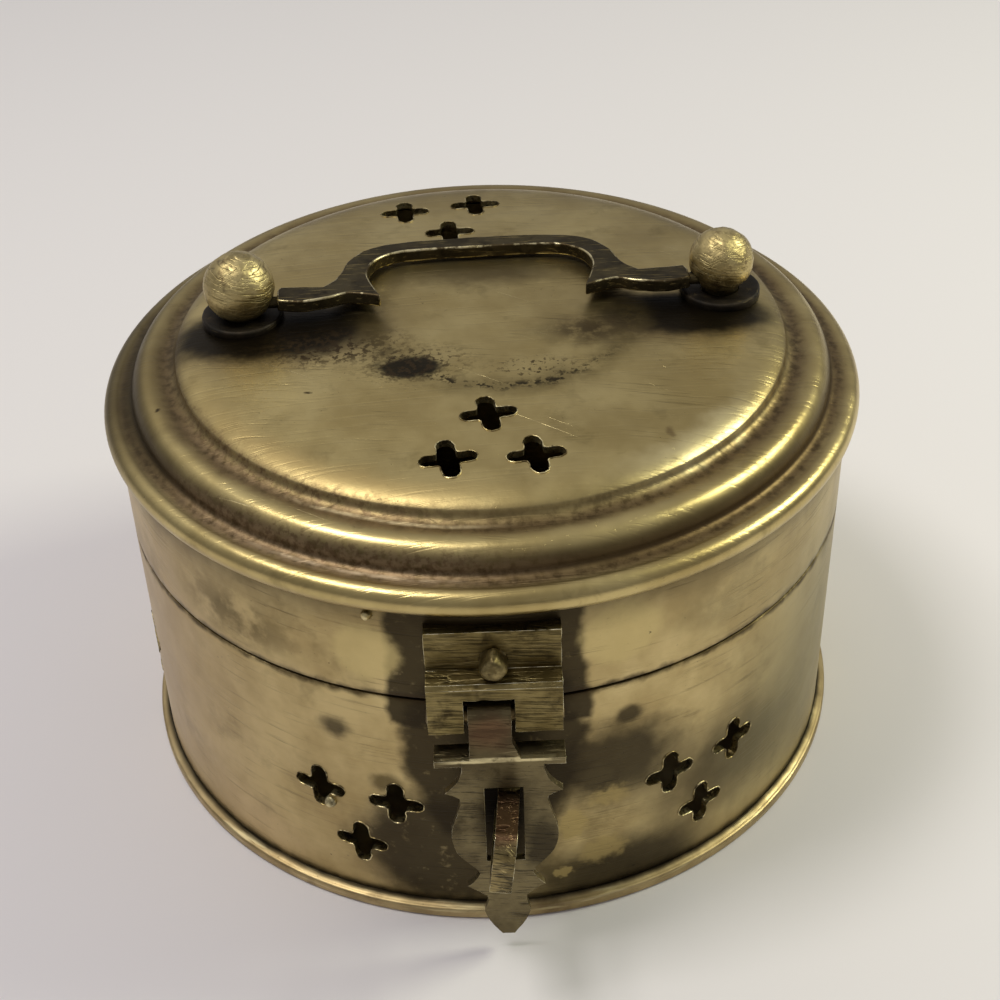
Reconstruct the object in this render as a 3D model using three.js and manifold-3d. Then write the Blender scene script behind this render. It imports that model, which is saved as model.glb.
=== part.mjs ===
// A round pierced brass trinket box: hinged stepped lid, bail handle between two ball posts,
// and a front hasp that drops over a staple. Millimetres, +Z up, the front looks along -Y.
// The origin is the middle of the underside, on the face that the box stands on.
import * as THREE from "three";
import { mergeVertices } from "three/addons/utils/BufferGeometryUtils.js";
import Module from "manifold-3d";

const wasm = await Module();
wasm.setup();

// body
const wallRadius = 51; // outside of the body wall and of the lid band
const wallThickness = 1.0;
const footLedge = 1.4; // base plate beyond the wall
const baseThickness = 1.7;
const edgeRounding = 0.35; // worn corners of the base plate
const seamHeight = 39.2; // middle of the gap between body and lid
const seamGap = 0.3;
const fixedGap = 0.05; // between pieces that are soldered or riveted together
const turningGap = 0.2; // round a pin that turns
const overcut = 1; // how far a cut runs on past the metal

// lid, measured from the bead inwards and from the seam upwards
const lidSheet = 0.9;
const beadCentreHeight = 15.8; // above the seam
const beadRound = 1.8; // radius of the rolled bead's section
const beadInset = 0.3; // from the wall's outside in to the bead's centre line
const coveWidth = 1.6; // hollow between the bead and the band
const bandWidth = 4.3; // raised band between the cove and the step
const stepWidth = 1.9; // rounded drop from the disc to the band
const shoulderWidth = 5.4; // where the disc starts to roll over
const bandRise = 5.5; // band top above the bead centre
const discRise = 8.2; // disc above the bead centre, where it starts to roll over
const domeRise = 1.2; // middle of the disc above that
const grooveDepth = 0.1; // groove at the foot of the step, below the band

// pierced crosses
const crossSpan = 7.4;
const crossArm = 2.1;
const crossPitch = 10.8; // between the two crosses of a pair
const crossDrop = 8.7; // from the pair to the third cross
const bodyCrossHeight = 20;
const bodyClusterAngles = [-141, -81, -21.2, 32.6, 93, 153]; // degrees round from the front
const lidCrossInset = 17.8; // a pair's middle in from the wall's outside
const lidClusters = [
  { angle: 1.5, twist: 9 },
  { angle: -170.5, twist: 4 },
];

// ball posts and handle
const postInset = 17.7; // a post's middle in from the wall's outside
const postMiddle = [0.5, 3.3];
const postTurn = 2.3; // degrees, the pair stands a little askew
const leftBallRadius = 4.9;
const rightBallRadius = 4.5;
const ballHeight = 5.1; // ball centre above the lid beside the post
const collarRadius = 5.6;
const collarHeight = 1.1;
const neckRadius = 2.6;
const shankRadius = 1.6;
const rivetSpread = 1.1; // peened end beyond the shank
const peenHeight = 0.8;
const peenGap = 0.45; // from the wall to the staple's peened ends
const peenSpread = 0.5; // peened ends beyond the staple's legs
const handleDrop = 2.2; // handle axis below the ball centres
const handleOffset = 1.0; // handle's middle line behind its axis
const handleThickness = 1.8;
const handleDroop = 3.5; // degrees, the bow leans back on the lid
const bowDepth = 14.8; // back edge of the bow, behind the handle's middle line
const bowSpread = 19.5; // half of the bow's width over its shoulders
const bowStrip = 3.3; // width of the bow's strip at its middle
const bowSide = 3.7; // and at its shoulders
const cuspSpread = 14.1; // half the distance between the bow's two points
const cuspDrop = 2.5; // points in front of the handle's middle line
const armHalf = 2.25; // half the width of an arm at its end
const pivotRoot = 2; // length of a pivot inside its arm
const pivotRadius = 0.8;
const pivotLength = 2.6; // inside the ball
const ballClearance = 0.75; // from a ball to the end of the arm beside it

// hasp leaf, pin, hasp and staple
const leafWidth = 16.4;
const leafThickness = 1.3;
const leafTop = 12.5; // above the seam
const knuckleTop = 6.5; // above the seam, crest of the folded knuckle
const crestSlope = 0.15; // rise of the knuckle's upper face to the leaf
const knuckleDepth = 3.0; // fold in front of the leaf
const foldRounding = 0.5; // worn corners of the fold
const leafBackInset = 1.5; // how deep the leaf's back reaches before the wall shapes it
const pinRadius = 1.0;
const pinStandOff = 2.4; // pin centre out from the wall
const pinRise = 0.4; // pin centre above the seam
const pinOverhang = 0.2; // pin beyond the last knuckle at each end
const barrelRadius = 2.0;
const tabWidth = 5.2;
const tabShift = 0.7; // the tab's middle, left of the box's
const tabSideGap = 0.5;
const notchTop = 2.2; // solid brass left between the notch and the crest
const tabFlare = 1.0; // the tab widens on one side where it meets the ears
const tabFlareRise = 1.8;
const haspSheet = 1.0;
const haspStandOff = 6.2; // front of the hasp plate out from the wall
const haspMiddle = 0.7;
const haspHalfWidth = 7.3;
const haspLength = 36.6; // from the pin centre down to the tip
const haspNeck = 5.0; // half-width of the plate under the ears
const strapTop = 0.9; // where the strap's front leaves the barrel, below the pin centre
const earHalfWidth = 8.0;
const earShift = 0.35; // the ears' middle, left of the plate's
const earDepth = 3.0;
const earDrop = 4.2; // from the pin centre down to the ears
const slotWidth = 4.9;
const slotTop = 9.0; // below the pin centre
const slotBottom = 22.3;
const stapleWidth = 2.8;
const stapleBar = 1.6; // thickness of the bent strip
const stapleTop = 10.2; // below the pin centre
const stapleBottom = 21.0;
const stapleReach = 15; // out from the wall
const stapleRound = 2.6; // outside radius of the upper bend
const stapleMiddle = 1.25;
const stapleTwist = -4.5; // degrees, seen from above
const stapleLean = 6; // degrees, the top leans to the right
const sweepGap = 0.25; // from the staple's nose to the end of the slot that swings past it
const rivetHeadRadius = 1.7;
const rivetHeadHeight = 1.25;
const rivetShankRadius = 0.9;
const rivetPeenSpread = 0.7; // peened end beyond the shank
const haspRivetHeight = 2.9; // the leaf's rivet stands out further than the hinge's
const haspRivetStretch = 0.92; // its height as a share of its width

// rear hinge
const hingeWidth = 16;
const hingePlateHeight = 9.5;
const hingeKnuckle = 5.2; // length of the middle knuckle
const knuckleGap = 0.3;

const roundSides = 84;
const smallSides = 24;
const wallInside = wallRadius - wallThickness;
const footRadius = wallRadius + footLedge;
const lidCrossRadius = wallRadius - lidCrossInset;
const postSpacing = 2 * (wallRadius - postInset);
const bodyTop = seamHeight - seamGap / 2;
const bandBottom = seamHeight + seamGap / 2;
const beadCentre = seamHeight + beadCentreHeight;
const beadMiddleRadius = wallRadius - beadInset;
const pinHeight = seamHeight + pinRise;
const pinY = -(wallRadius + pinStandOff);

const degrees = (angle) => (angle * Math.PI) / 180;
const v2 = (x, y) => new THREE.Vector2(x, y);

// solids
function solid(geometry) {
  const plain = geometry.clone();
  plain.deleteAttribute("normal");
  plain.deleteAttribute("uv");
  const merged = mergeVertices(plain, 1e-4);
  const index = merged.index.array;
  const kept = [];
  for (let i = 0; i < index.length; i += 3) {
    const [a, b, c] = [index[i], index[i + 1], index[i + 2]];
    if (a !== b && b !== c && a !== c) kept.push(a, b, c);
  }
  return new wasm.Manifold(
    new wasm.Mesh({
      numProp: 3,
      vertProperties: merged.attributes.position.array,
      triVerts: new Uint32Array(kept),
    }),
  );
}

function meshOf(name, shape, colour, roughness) {
  const made = shape.getMesh();
  const geometry = new THREE.BufferGeometry();
  geometry.setAttribute(
    "position",
    new THREE.BufferAttribute(new Float32Array(made.vertProperties), 3),
  );
  geometry.setIndex(new THREE.BufferAttribute(new Uint32Array(made.triVerts), 1));
  const flat = geometry.toNonIndexed();
  flat.computeVertexNormals();
  const material = new THREE.MeshStandardMaterial({
    color: colour,
    roughness,
    metalness: 1,
  });
  const mesh = new THREE.Mesh(flat, material);
  mesh.name = name;
  return mesh;
}

const cut = (shape, tools) => tools.reduce((left, tool) => left.subtract(tool), shape);
const join = (shapes) => shapes.reduce((left, right) => left.add(right));

// A turned shape about Z from its profile of radius and height.
function turned(profile, sides = roundSides) {
  return new THREE.LatheGeometry(profile, sides).rotateX(Math.PI / 2);
}

function ring(outside, inside, bottom, top, sides = roundSides) {
  const profile = [
    v2(outside, bottom),
    v2(outside, top),
    v2(inside, top),
    v2(inside, bottom),
    v2(outside, bottom),
  ];
  return turned(profile, sides);
}

function disc(radius, bottom, top, sides = roundSides) {
  return turned([v2(0, bottom), v2(radius, bottom), v2(radius, top), v2(0, top)], sides);
}

function block(x0, x1, y0, y1, z0, z1) {
  const box = new THREE.BoxGeometry(x1 - x0, y1 - y0, z1 - z0);
  return box.translate((x0 + x1) / 2, (y0 + y1) / 2, (z0 + z1) / 2);
}

// A rod along X.
function rod(radius, x0, x1, y, z, sides = smallSides) {
  const made = new THREE.CylinderGeometry(radius, radius, x1 - x0, sides);
  return made.rotateZ(-Math.PI / 2).translate((x0 + x1) / 2, y, z);
}

// A flat outline of x and z given a thickness towards the back, from its front face.
function standingPlate(outline, frontY, thickness) {
  const made = new THREE.ExtrudeGeometry(new THREE.Shape(outline), {
    depth: thickness,
    bevelEnabled: false,
  });
  return made.rotateX(Math.PI / 2).translate(0, frontY + thickness, 0);
}

// A side outline of y and z given a width along X.
function sideways(outline, x0, x1) {
  const made = new THREE.ExtrudeGeometry(new THREE.Shape(outline), {
    depth: x1 - x0,
    bevelEnabled: false,
  });
  return made.rotateY(Math.PI / 2).rotateX(Math.PI / 2).translate(x0, 0, 0);
}

function arc(centreX, centreY, radius, from, to, steps) {
  const points = [];
  for (let i = 0; i <= steps; i += 1) {
    const angle = degrees(from + ((to - from) * i) / steps);
    points.push(
      v2(centreX + radius * Math.cos(angle), centreY + radius * Math.sin(angle)),
    );
  }
  return points;
}

const spline = (points, steps) =>
  new THREE.SplineCurve(points.map(([x, y]) => v2(x, y))).getPoints(steps);

// pierced crosses: two round-ended slots at right angles, standing along Z
function crossCutter(depth) {
  const reach = (crossSpan - crossArm) / 2;
  const outline = [
    ...arc(reach, 0, crossArm / 2, -90, 90, 5),
    ...arc(-reach, 0, crossArm / 2, 90, 270, 5),
  ];
  const slot = new THREE.ExtrudeGeometry(new THREE.Shape(outline), {
    depth,
    bevelEnabled: false,
  }).translate(0, 0, -depth / 2);
  return solid(slot).add(solid(slot.clone().rotateZ(Math.PI / 2)));
}

function moved(shape, matrix) {
  return shape.transform(matrix.elements);
}

// Places three crosses in a triangle: two on a line, the third at its far side.
function crossCluster(cutter, place) {
  return [
    moved(cutter, place(-crossPitch / 2, 0)),
    moved(cutter, place(crossPitch / 2, 0)),
    moved(cutter, place(0, crossDrop)),
  ];
}

function bodyCrosses() {
  const cutter = crossCutter(8 * wallThickness);
  const pitchAngle = 1 / wallRadius;
  return bodyClusterAngles.flatMap((angle) =>
    crossCluster(cutter, (along, down) => {
      const turn = degrees(angle) + along * pitchAngle;
      const matrix = new THREE.Matrix4().makeRotationZ(turn);
      matrix.multiply(
        new THREE.Matrix4().makeTranslation(0, -wallRadius, bodyCrossHeight - down),
      );
      return matrix.multiply(new THREE.Matrix4().makeRotationX(Math.PI / 2));
    }),
  );
}

function lidCrosses() {
  const cutter = crossCutter(domeRise + 2 * discRise);
  const height = beadCentre + discRise;
  return lidClusters.flatMap(({ angle, twist }) =>
    crossCluster(cutter, (along, inwards) => {
      const matrix = new THREE.Matrix4().makeRotationZ(degrees(angle));
      matrix.multiply(
        new THREE.Matrix4().makeTranslation(along, inwards - lidCrossRadius, height),
      );
      return matrix.multiply(new THREE.Matrix4().makeRotationZ(degrees(twist - angle)));
    }),
  );
}

// lid section: outer line of the sheet from the middle out to the underside of the bead
const coveRadius = beadMiddleRadius - beadRound * 0.55;
const bandOuter = coveRadius - coveWidth;
const bandInner = bandOuter - bandWidth;
const discEdge = bandInner - stepWidth;
const rollStart = discEdge - shoulderWidth;
const discHeight = beadCentre + discRise;
const bandHeight = beadCentre + bandRise;
const stepDrop = discHeight - bandHeight;
const coveDrop = bandRise - beadRound;

function domeHeight(radius) {
  return discHeight + domeRise * (1 - (radius / rollStart) ** 2);
}

function lidLine() {
  const dome = [0, 0.25, 0.5, 0.75, 1].map((share) => {
    const radius = share * rollStart;
    return v2(radius, domeHeight(radius));
  });
  const roll = spline(
    [
      [rollStart, discHeight],
      [discEdge - shoulderWidth * 0.4, discHeight - stepDrop / 6],
      [discEdge, discHeight - stepDrop / 2],
      [bandInner - stepWidth * 0.3, bandHeight + grooveDepth / 2],
      [bandInner + bandWidth * 0.1, bandHeight - grooveDepth],
      [bandInner + bandWidth * 0.45, bandHeight],
      [bandOuter - bandWidth * 0.15, bandHeight - coveDrop * 0.24],
      [bandOuter + coveWidth * 0.15, bandHeight - coveDrop * 0.7],
      [bandOuter + coveWidth * 0.6, bandHeight - coveDrop * 0.97],
    ],
    13,
  );
  const bead = arc(beadMiddleRadius, beadCentre, beadRound, 105, -48, 8);
  return [...dome, ...roll.slice(1), ...bead];
}

// The same line moved inwards by the sheet's thickness, with half as many points.
function offsetLine(line, distance) {
  const last = line.length - 1;
  const inner = line.map((point, i) => {
    const before = line[Math.max(i - 1, 0)];
    const after = line[Math.min(i + 1, line.length - 1)];
    const along = after.clone().sub(before).normalize();
    const inward = v2(along.y, -along.x).multiplyScalar(distance);
    if (point.x === 0) return v2(0, point.y - distance);
    return point.clone().add(inward);
  });
  return inner.filter((point, i) => i % 2 === 0 || i === last);
}

// Where the line passes a radius.
function lineHeight(line, radius) {
  const next = line.findIndex((point) => point.x >= radius);
  const [a, b] = [line[next - 1], line[next]];
  return a.y + ((b.y - a.y) * (radius - a.x)) / (b.x - a.x);
}

// Everything under the lid's outer line, for pieces that sit on the lid.
function underLid(gap) {
  const line = lidLine().filter((point) => point.x < bandInner);
  const raised = line.map((point) => v2(point.x, point.y + gap));
  const last = raised[raised.length - 1];
  return solid(turned([v2(0, seamHeight), v2(last.x, seamHeight), ...raised.reverse()]));
}

const postFoot = lineHeight(lidLine(), postSpacing / 2);
const handleAxis = postFoot + ballHeight - handleDrop;

// From a ball's centre out to its surface, along the handle's axis.
const ballFace = (radius) => Math.sqrt(radius ** 2 - handleDrop ** 2 - handleOffset ** 2);

// From the handle's frame, X along its axis and Y to the back, to the part's frame.
function handleFrame(height) {
  const matrix = new THREE.Matrix4().makeTranslation(...postMiddle, height);
  return matrix.multiply(new THREE.Matrix4().makeRotationZ(degrees(postTurn)));
}

// The same for one post, standing on the lid.
function postFrame(side) {
  const out = new THREE.Matrix4().makeTranslation((side * postSpacing) / 2, 0, 0);
  return handleFrame(postFoot).multiply(out);
}

function shankCutters() {
  const hole = solid(disc(shankRadius + fixedGap * 2, -lidSheet * 6, lidSheet * 4, smallSides));
  return [-1, 1].map((side) => moved(hole, postFrame(side)));
}

// pieces
function basePlate() {
  const corner = edgeRounding;
  const profile = [
    v2(0, 0),
    v2(footRadius - corner, 0),
    v2(footRadius, corner),
    v2(footRadius, baseThickness - corner),
    v2(footRadius - corner, baseThickness),
    v2(0, baseThickness),
  ];
  return solid(turned(profile));
}

// A rivet hole along Y through a leaf and the wall or the band.
function rivetHole(side, x, z) {
  const radius = rivetShankRadius + fixedGap * 2;
  const length = 2 * (leafThickness + wallThickness + overcut);
  const made = new THREE.CylinderGeometry(radius, radius, length, smallSides);
  return solid(made.translate(x, side * wallRadius, z));
}

function bodyWall() {
  const wall = solid(ring(wallRadius, wallInside, baseThickness, bodyTop));
  const lowerRivet = rivetHole(1, 0, hingeRivetHeight(-1));
  const legHoles = stapleLegs(fixedGap * 2, -wallRadius - overcut, -wallInside + overcut);
  return cut(wall, [...bodyCrosses(), ...legHoles, lowerRivet]);
}

function lidBand() {
  const line = offsetLine(lidLine(), lidSheet);
  const heights = [0, 0.25, 0.5, 0.75, 1].map((share) =>
    lineHeight(line, wallInside + share * wallThickness),
  );
  const top = Math.min(...heights) - 2 * fixedGap;
  const band = solid(ring(wallRadius, wallInside, bandBottom, top));
  return cut(band, [
    rivetHole(-1, 0, haspRivetZ),
    rivetHole(1, 0, hingeRivetHeight(1)),
  ]);
}

function lidTop() {
  const line = lidLine();
  const inside = offsetLine(line, lidSheet).reverse();
  const sheet = solid(turned([...line, ...inside].reverse()));
  return cut(sheet, [...lidCrosses(), ...shankCutters()]);
}

function post(side, ballRadius) {
  const reach = postSpacing / 2 + Math.hypot(...postMiddle) + shankRadius + rivetSpread;
  const peenTop = lineHeight(offsetLine(lidLine(), lidSheet), reach) - postFoot - fixedGap;
  const neckTop = ballHeight - Math.sqrt(ballRadius ** 2 - neckRadius ** 2);
  const startAngle = (Math.asin(neckRadius / ballRadius) * 180) / Math.PI - 90;
  const profile = [
    v2(0, peenTop - peenHeight),
    v2(shankRadius + rivetSpread * 0.7, peenTop - peenHeight),
    v2(shankRadius + rivetSpread, peenTop - peenHeight * 0.5),
    v2(shankRadius + rivetSpread, peenTop),
    v2(shankRadius, peenTop),
    v2(shankRadius, collarHeight * 0.5),
    v2(neckRadius, collarHeight * 0.5),
    v2(neckRadius, neckTop),
    ...arc(0, ballHeight, ballRadius, startAngle, 90, 12).slice(1),
  ];
  profile[profile.length - 1].x = 0;
  const body = solid(turned(profile, smallSides));
  const mouth = ballRadius + overcut;
  const floor = ballFace(ballRadius) - pivotLength - turningGap * 2;
  const hole = solid(
    rod(
      pivotRadius + turningGap,
      floor,
      mouth,
      side * handleOffset,
      ballHeight - handleDrop,
    ),
  );
  const bored = body.subtract(
    side < 0 ? hole : moved(hole, new THREE.Matrix4().makeRotationZ(Math.PI)),
  );
  return moved(bored, postFrame(side));
}

function collar(side, ballRadius) {
  const rounding = collarHeight * 0.3;
  const profile = [
    v2(neckRadius + fixedGap * 2, -2 * collarHeight),
    v2(collarRadius, -2 * collarHeight),
    v2(collarRadius, collarHeight - rounding),
    v2(collarRadius - rounding, collarHeight),
    v2(neckRadius + fixedGap * 2, collarHeight),
    v2(neckRadius + fixedGap * 2, -2 * collarHeight),
  ];
  const washer = solid(turned(profile, smallSides * 2));
  const ball = new THREE.SphereGeometry(ballRadius + 2 * fixedGap, smallSides, 16);
  const dish = solid(ball.rotateX(Math.PI / 2).translate(0, 0, ballHeight));
  return moved(washer.subtract(dish), postFrame(side)).subtract(underLid(fixedGap));
}

// Half of the handle's outline, from the middle of the bow round to the middle again.
function handleHalf(armEnd) {
  const alongArm = (share) => bowSpread + share * (armEnd - bowSpread);
  const insideDepth = bowDepth - bowStrip;
  const insideSpread = bowSpread - bowSide;
  const rear = spline(
    [
      [0, bowDepth],
      [bowSpread * 0.46, bowDepth * 0.973],
      [bowSpread * 0.69, bowDepth * 0.92],
      [bowSpread * 0.85, bowDepth * 0.8],
      [bowSpread * 0.955, bowDepth * 0.595],
      [bowSpread, bowDepth * 0.38],
      [alongArm(0.1), armHalf * 1.42],
      [alongArm(0.28), armHalf * 0.62],
    ],
    16,
  );
  const front = spline(
    [
      [alongArm(0.93), -armHalf],
      [alongArm(0.62), -armHalf * 1.29],
      [alongArm(0.19), -armHalf * 0.93],
      [bowSpread * 0.944, -armHalf * 0.45],
      [cuspSpread, -cuspDrop],
    ],
    10,
  );
  const inside = spline(
    [
      [cuspSpread, -cuspDrop],
      [insideSpread, insideDepth * 0.35],
      [insideSpread * 0.943, insideDepth * 0.73],
      [insideSpread * 0.753, insideDepth * 0.948],
      [insideSpread * 0.462, insideDepth],
      [0, insideDepth],
    ],
    14,
  );
  const end = [
    v2(armEnd - ballClearance / 2, armHalf * 0.8),
    v2(armEnd, armHalf * 0.3),
    v2(armEnd, -armHalf * 0.9),
  ];
  return [...rear, ...end, ...front, ...inside.slice(1)];
}

function handle() {
  const armEnds = [leftBallRadius, rightBallRadius].map(
    (radius) => postSpacing / 2 - ballFace(radius) - ballClearance,
  );
  const left = handleHalf(armEnds[0]).map((point) => v2(-point.x, point.y));
  const right = handleHalf(armEnds[1]);
  const outline = [...right, ...left.reverse().slice(1, -1)].reverse();
  const plate = new THREE.ExtrudeGeometry(new THREE.Shape(outline), {
    depth: handleThickness,
    bevelEnabled: false,
  }).translate(0, handleOffset, -handleThickness / 2);
  const inside = pivotLength + ballClearance;
  const pivots = [
    rod(pivotRadius, -armEnds[0] - inside, -armEnds[0] + pivotRoot, 0, 0, 16),
    rod(pivotRadius, armEnds[1] - pivotRoot, armEnds[1] + inside, 0, 0, 16),
  ];
  const made = join([solid(plate), ...pivots.map(solid)]);
  const droop = new THREE.Matrix4().makeRotationX(degrees(-handleDroop));
  const onAxis = new THREE.Matrix4().makeTranslation(0, -handleOffset, 0);
  return moved(moved(made, droop), handleFrame(handleAxis).multiply(onAxis));
}

// The outside of the wall, which the leaves are shaped to.
const wallCore = () => solid(disc(wallRadius + fixedGap, 0, 2 * seamHeight));

const haspRivetZ =
  seamHeight + knuckleTop + crestSlope + rivetHeadRadius * haspRivetStretch + 2 * fixedGap;
const leafFace = -(wallRadius + leafThickness);

function haspLeaf() {
  const half = leafWidth / 2;
  const front = leafFace - knuckleDepth;
  const crest = seamHeight + knuckleTop;
  const foldBottom = pinHeight - barrelRadius;
  const back = -wallRadius + leafBackInset;
  const shelf = bandBottom + foldRounding;
  const outline = [
    v2(back, seamHeight + leafTop),
    v2(leafFace, seamHeight + leafTop),
    v2(leafFace, crest + crestSlope),
    v2(front + foldRounding, crest),
    v2(front, crest - foldRounding),
    v2(front, foldBottom + foldRounding),
    v2(front + foldRounding, foldBottom),
    ...arc(pinY, pinHeight, barrelRadius, 270, 360, 5),
    v2(pinY + barrelRadius, shelf),
    v2(back, shelf),
  ];
  const body = solid(sideways(outline.reverse(), -half, half));
  const notchHalf = tabWidth / 2 + tabSideGap;
  const notch = block(
    -tabShift - notchHalf,
    -tabShift + notchHalf,
    front - overcut,
    back + overcut,
    foldBottom - overcut,
    crest - notchTop,
  );
  const bore = rod(pinRadius + fixedGap, -half - overcut, half + overcut, pinY, pinHeight);
  return cut(body, [
    wallCore(),
    solid(notch),
    solid(bore),
    rivetHole(-1, 0, haspRivetZ),
  ]);
}

// A rivet along Y with a round head outside and a peened end inside the wall.
function rivet(side, z, face, headHeight = rivetHeadHeight, stretch = 1) {
  const inner = wallInside - 4 * fixedGap;
  const spread = rivetShankRadius + rivetPeenSpread;
  const shank = [
    v2(0, inner - peenHeight),
    v2(spread * 0.8, inner - peenHeight),
    v2(spread, inner - peenHeight / 2),
    v2(spread, inner),
    v2(rivetShankRadius, inner),
    v2(rivetShankRadius, face + headHeight / 2),
    v2(0, face + headHeight / 2),
  ];
  const head = [
    v2(0, face + fixedGap),
    v2(rivetHeadRadius, face + fixedGap),
    v2(rivetHeadRadius * 0.92, face + headHeight * 0.55),
    v2(rivetHeadRadius * 0.55, face + headHeight * 0.9),
    v2(0, face + headHeight),
  ];
  const rounds = [
    new THREE.LatheGeometry(shank, 16),
    new THREE.LatheGeometry(head, 16).scale(1, 1, stretch),
  ];
  if (side < 0) rounds.forEach((round) => round.rotateZ(Math.PI));
  return join(rounds.map((round) => solid(round.translate(0, 0, z))));
}

const leafRivet = () => rivet(-1, haspRivetZ, -leafFace, haspRivetHeight, haspRivetStretch);

function haspPin() {
  const half = leafWidth / 2 + pinOverhang;
  return solid(rod(pinRadius, -half, half, pinY, pinHeight));
}

// Half-widths of the hasp plate as shares of its widest, and their depths below the pin
// centre as shares of its length: shoulders, body, second shoulders, neck and leaf-shaped tip.
const haspHalves = [
  [0.685, 0.164],
  [1, 0.268],
  [0.767, 0.306],
  [0.822, 0.372],
  [0.904, 0.464],
  [0.849, 0.552],
  [0.671, 0.612],
  [0.479, 0.664],
  [0.685, 0.74],
  [0.616, 0.76],
  [0.356, 0.784],
  [0.342, 0.831],
  [0.411, 0.874],
  [0.301, 0.94],
  [0.11, 1],
];

function hasp() {
  const front = -(wallRadius + haspStandOff);
  const shoulder = pinHeight - earDrop;
  const edge = (side) =>
    haspHalves.map(([half, down]) =>
      v2(haspMiddle + side * half * haspHalfWidth, pinHeight - down * haspLength),
    );
  const outline = [
    v2(haspMiddle - haspNeck, shoulder),
    v2(haspMiddle + haspNeck, shoulder),
    ...edge(1),
    ...edge(-1).reverse(),
  ];
  const plate = solid(standingPlate(outline, front, haspSheet));
  const slot = block(
    haspMiddle - slotWidth / 2,
    haspMiddle + slotWidth / 2,
    front - overcut,
    front + haspSheet + overcut,
    pinHeight - slotBottom,
    pinHeight - slotTop,
  );
  const ears = block(
    haspMiddle - earHalfWidth - earShift,
    haspMiddle + earHalfWidth - earShift,
    front,
    front + earDepth,
    shoulder - haspSheet,
    shoulder,
  );
  const tabLeft = -tabShift - tabWidth / 2;
  const tabRight = -tabShift + tabWidth / 2;
  const barrel = rod(barrelRadius, tabLeft, tabRight, pinY, pinHeight);
  const strap = [
    v2(front, shoulder - haspSheet),
    v2(front, shoulder),
    v2(pinY - barrelRadius, pinHeight - strapTop),
    v2(pinY - barrelRadius, pinHeight),
    v2(pinY, pinHeight),
    v2(pinY - barrelRadius + haspSheet, pinHeight - strapTop * 1.35),
    v2(front + haspSheet, shoulder - haspSheet * 0.6),
    v2(front + haspSheet, shoulder - haspSheet),
  ];
  const wide = sideways(strap.reverse(), tabLeft, tabRight + tabFlare);
  const beside = [
    v2(tabRight, shoulder + tabFlareRise),
    v2(tabRight + tabFlare, shoulder),
    v2(tabRight + 2 * tabFlare, shoulder),
    v2(tabRight + 2 * tabFlare, pinHeight + barrelRadius),
    v2(tabRight, pinHeight + barrelRadius),
  ];
  const besideCut = solid(standingPlate(beside, front - overcut, haspStandOff));
  const tab = solid(wide).subtract(besideCut);
  const bore = rod(pinRadius + turningGap, -leafWidth, leafWidth, pinY, pinHeight);
  const made = join([plate, solid(ears), solid(barrel), tab]);
  return cut(made, [solid(slot), solid(bore)]);
}

// Puts a shape made about the staple's own middle plane into place on the wall.
function onStaple(geometry) {
  const middle = pinHeight - (stapleTop + stapleBottom) / 2;
  return geometry
    .translate(0, wallRadius, -middle)
    .rotateY(degrees(stapleLean))
    .rotateZ(degrees(stapleTwist))
    .translate(stapleMiddle, -wallRadius, middle);
}

// A length of both legs of the staple, made larger by a gap all round.
function stapleLegs(gap, frontY, rearY) {
  const half = stapleWidth / 2 + gap;
  const reach = stapleBar / 2 + gap;
  const heights = [
    pinHeight - stapleTop - stapleBar / 2,
    pinHeight - stapleBottom + stapleBar / 2,
  ];
  return heights.map((z) =>
    solid(onStaple(block(-half, half, frontY, rearY, z - reach, z + reach))),
  );
}

// The staple's side outline, or its hollow's when it is inset by the strip's thickness. Its
// lower front follows the swing of the slot's end round the hasp's pin.
function stapleOutline(inset, rear) {
  const slotEnd = Math.hypot(slotBottom, haspStandOff - haspSheet - pinStandOff);
  const sweep = slotEnd - sweepGap - inset;
  const top = pinHeight - stapleTop - inset;
  const bottom = pinHeight - stapleBottom + inset;
  const nose = -(wallRadius + stapleReach) + inset;
  const round = stapleRound - inset;
  const front = 180 + (Math.acos((pinY - nose) / sweep) * 180) / Math.PI;
  const under = 180 + (Math.asin((pinHeight - bottom) / sweep) * 180) / Math.PI;
  return [
    v2(rear, top),
    ...arc(nose + round, top - round, round, 90, 180, 5),
    ...arc(pinY, pinHeight, sweep, front, under, 4),
    v2(rear, bottom),
  ];
}

function staple() {
  const rear = -wallInside + peenGap;
  const half = stapleWidth / 2;
  const outside = stapleOutline(0, rear + peenHeight / 2);
  const inside = stapleOutline(stapleBar, rear + peenHeight);
  const outer = solid(onStaple(sideways(outside, -half, half)));
  const inner = solid(onStaple(sideways(inside, -half - overcut, half + overcut)));
  const peens = stapleLegs(peenSpread, rear, rear + peenHeight);
  return join([outer.subtract(inner), ...peens]);
}

function hingeRivetHeight(side) {
  return seamHeight + side * (barrelRadius + knuckleGap + hingePlateHeight / 2);
}

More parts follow.
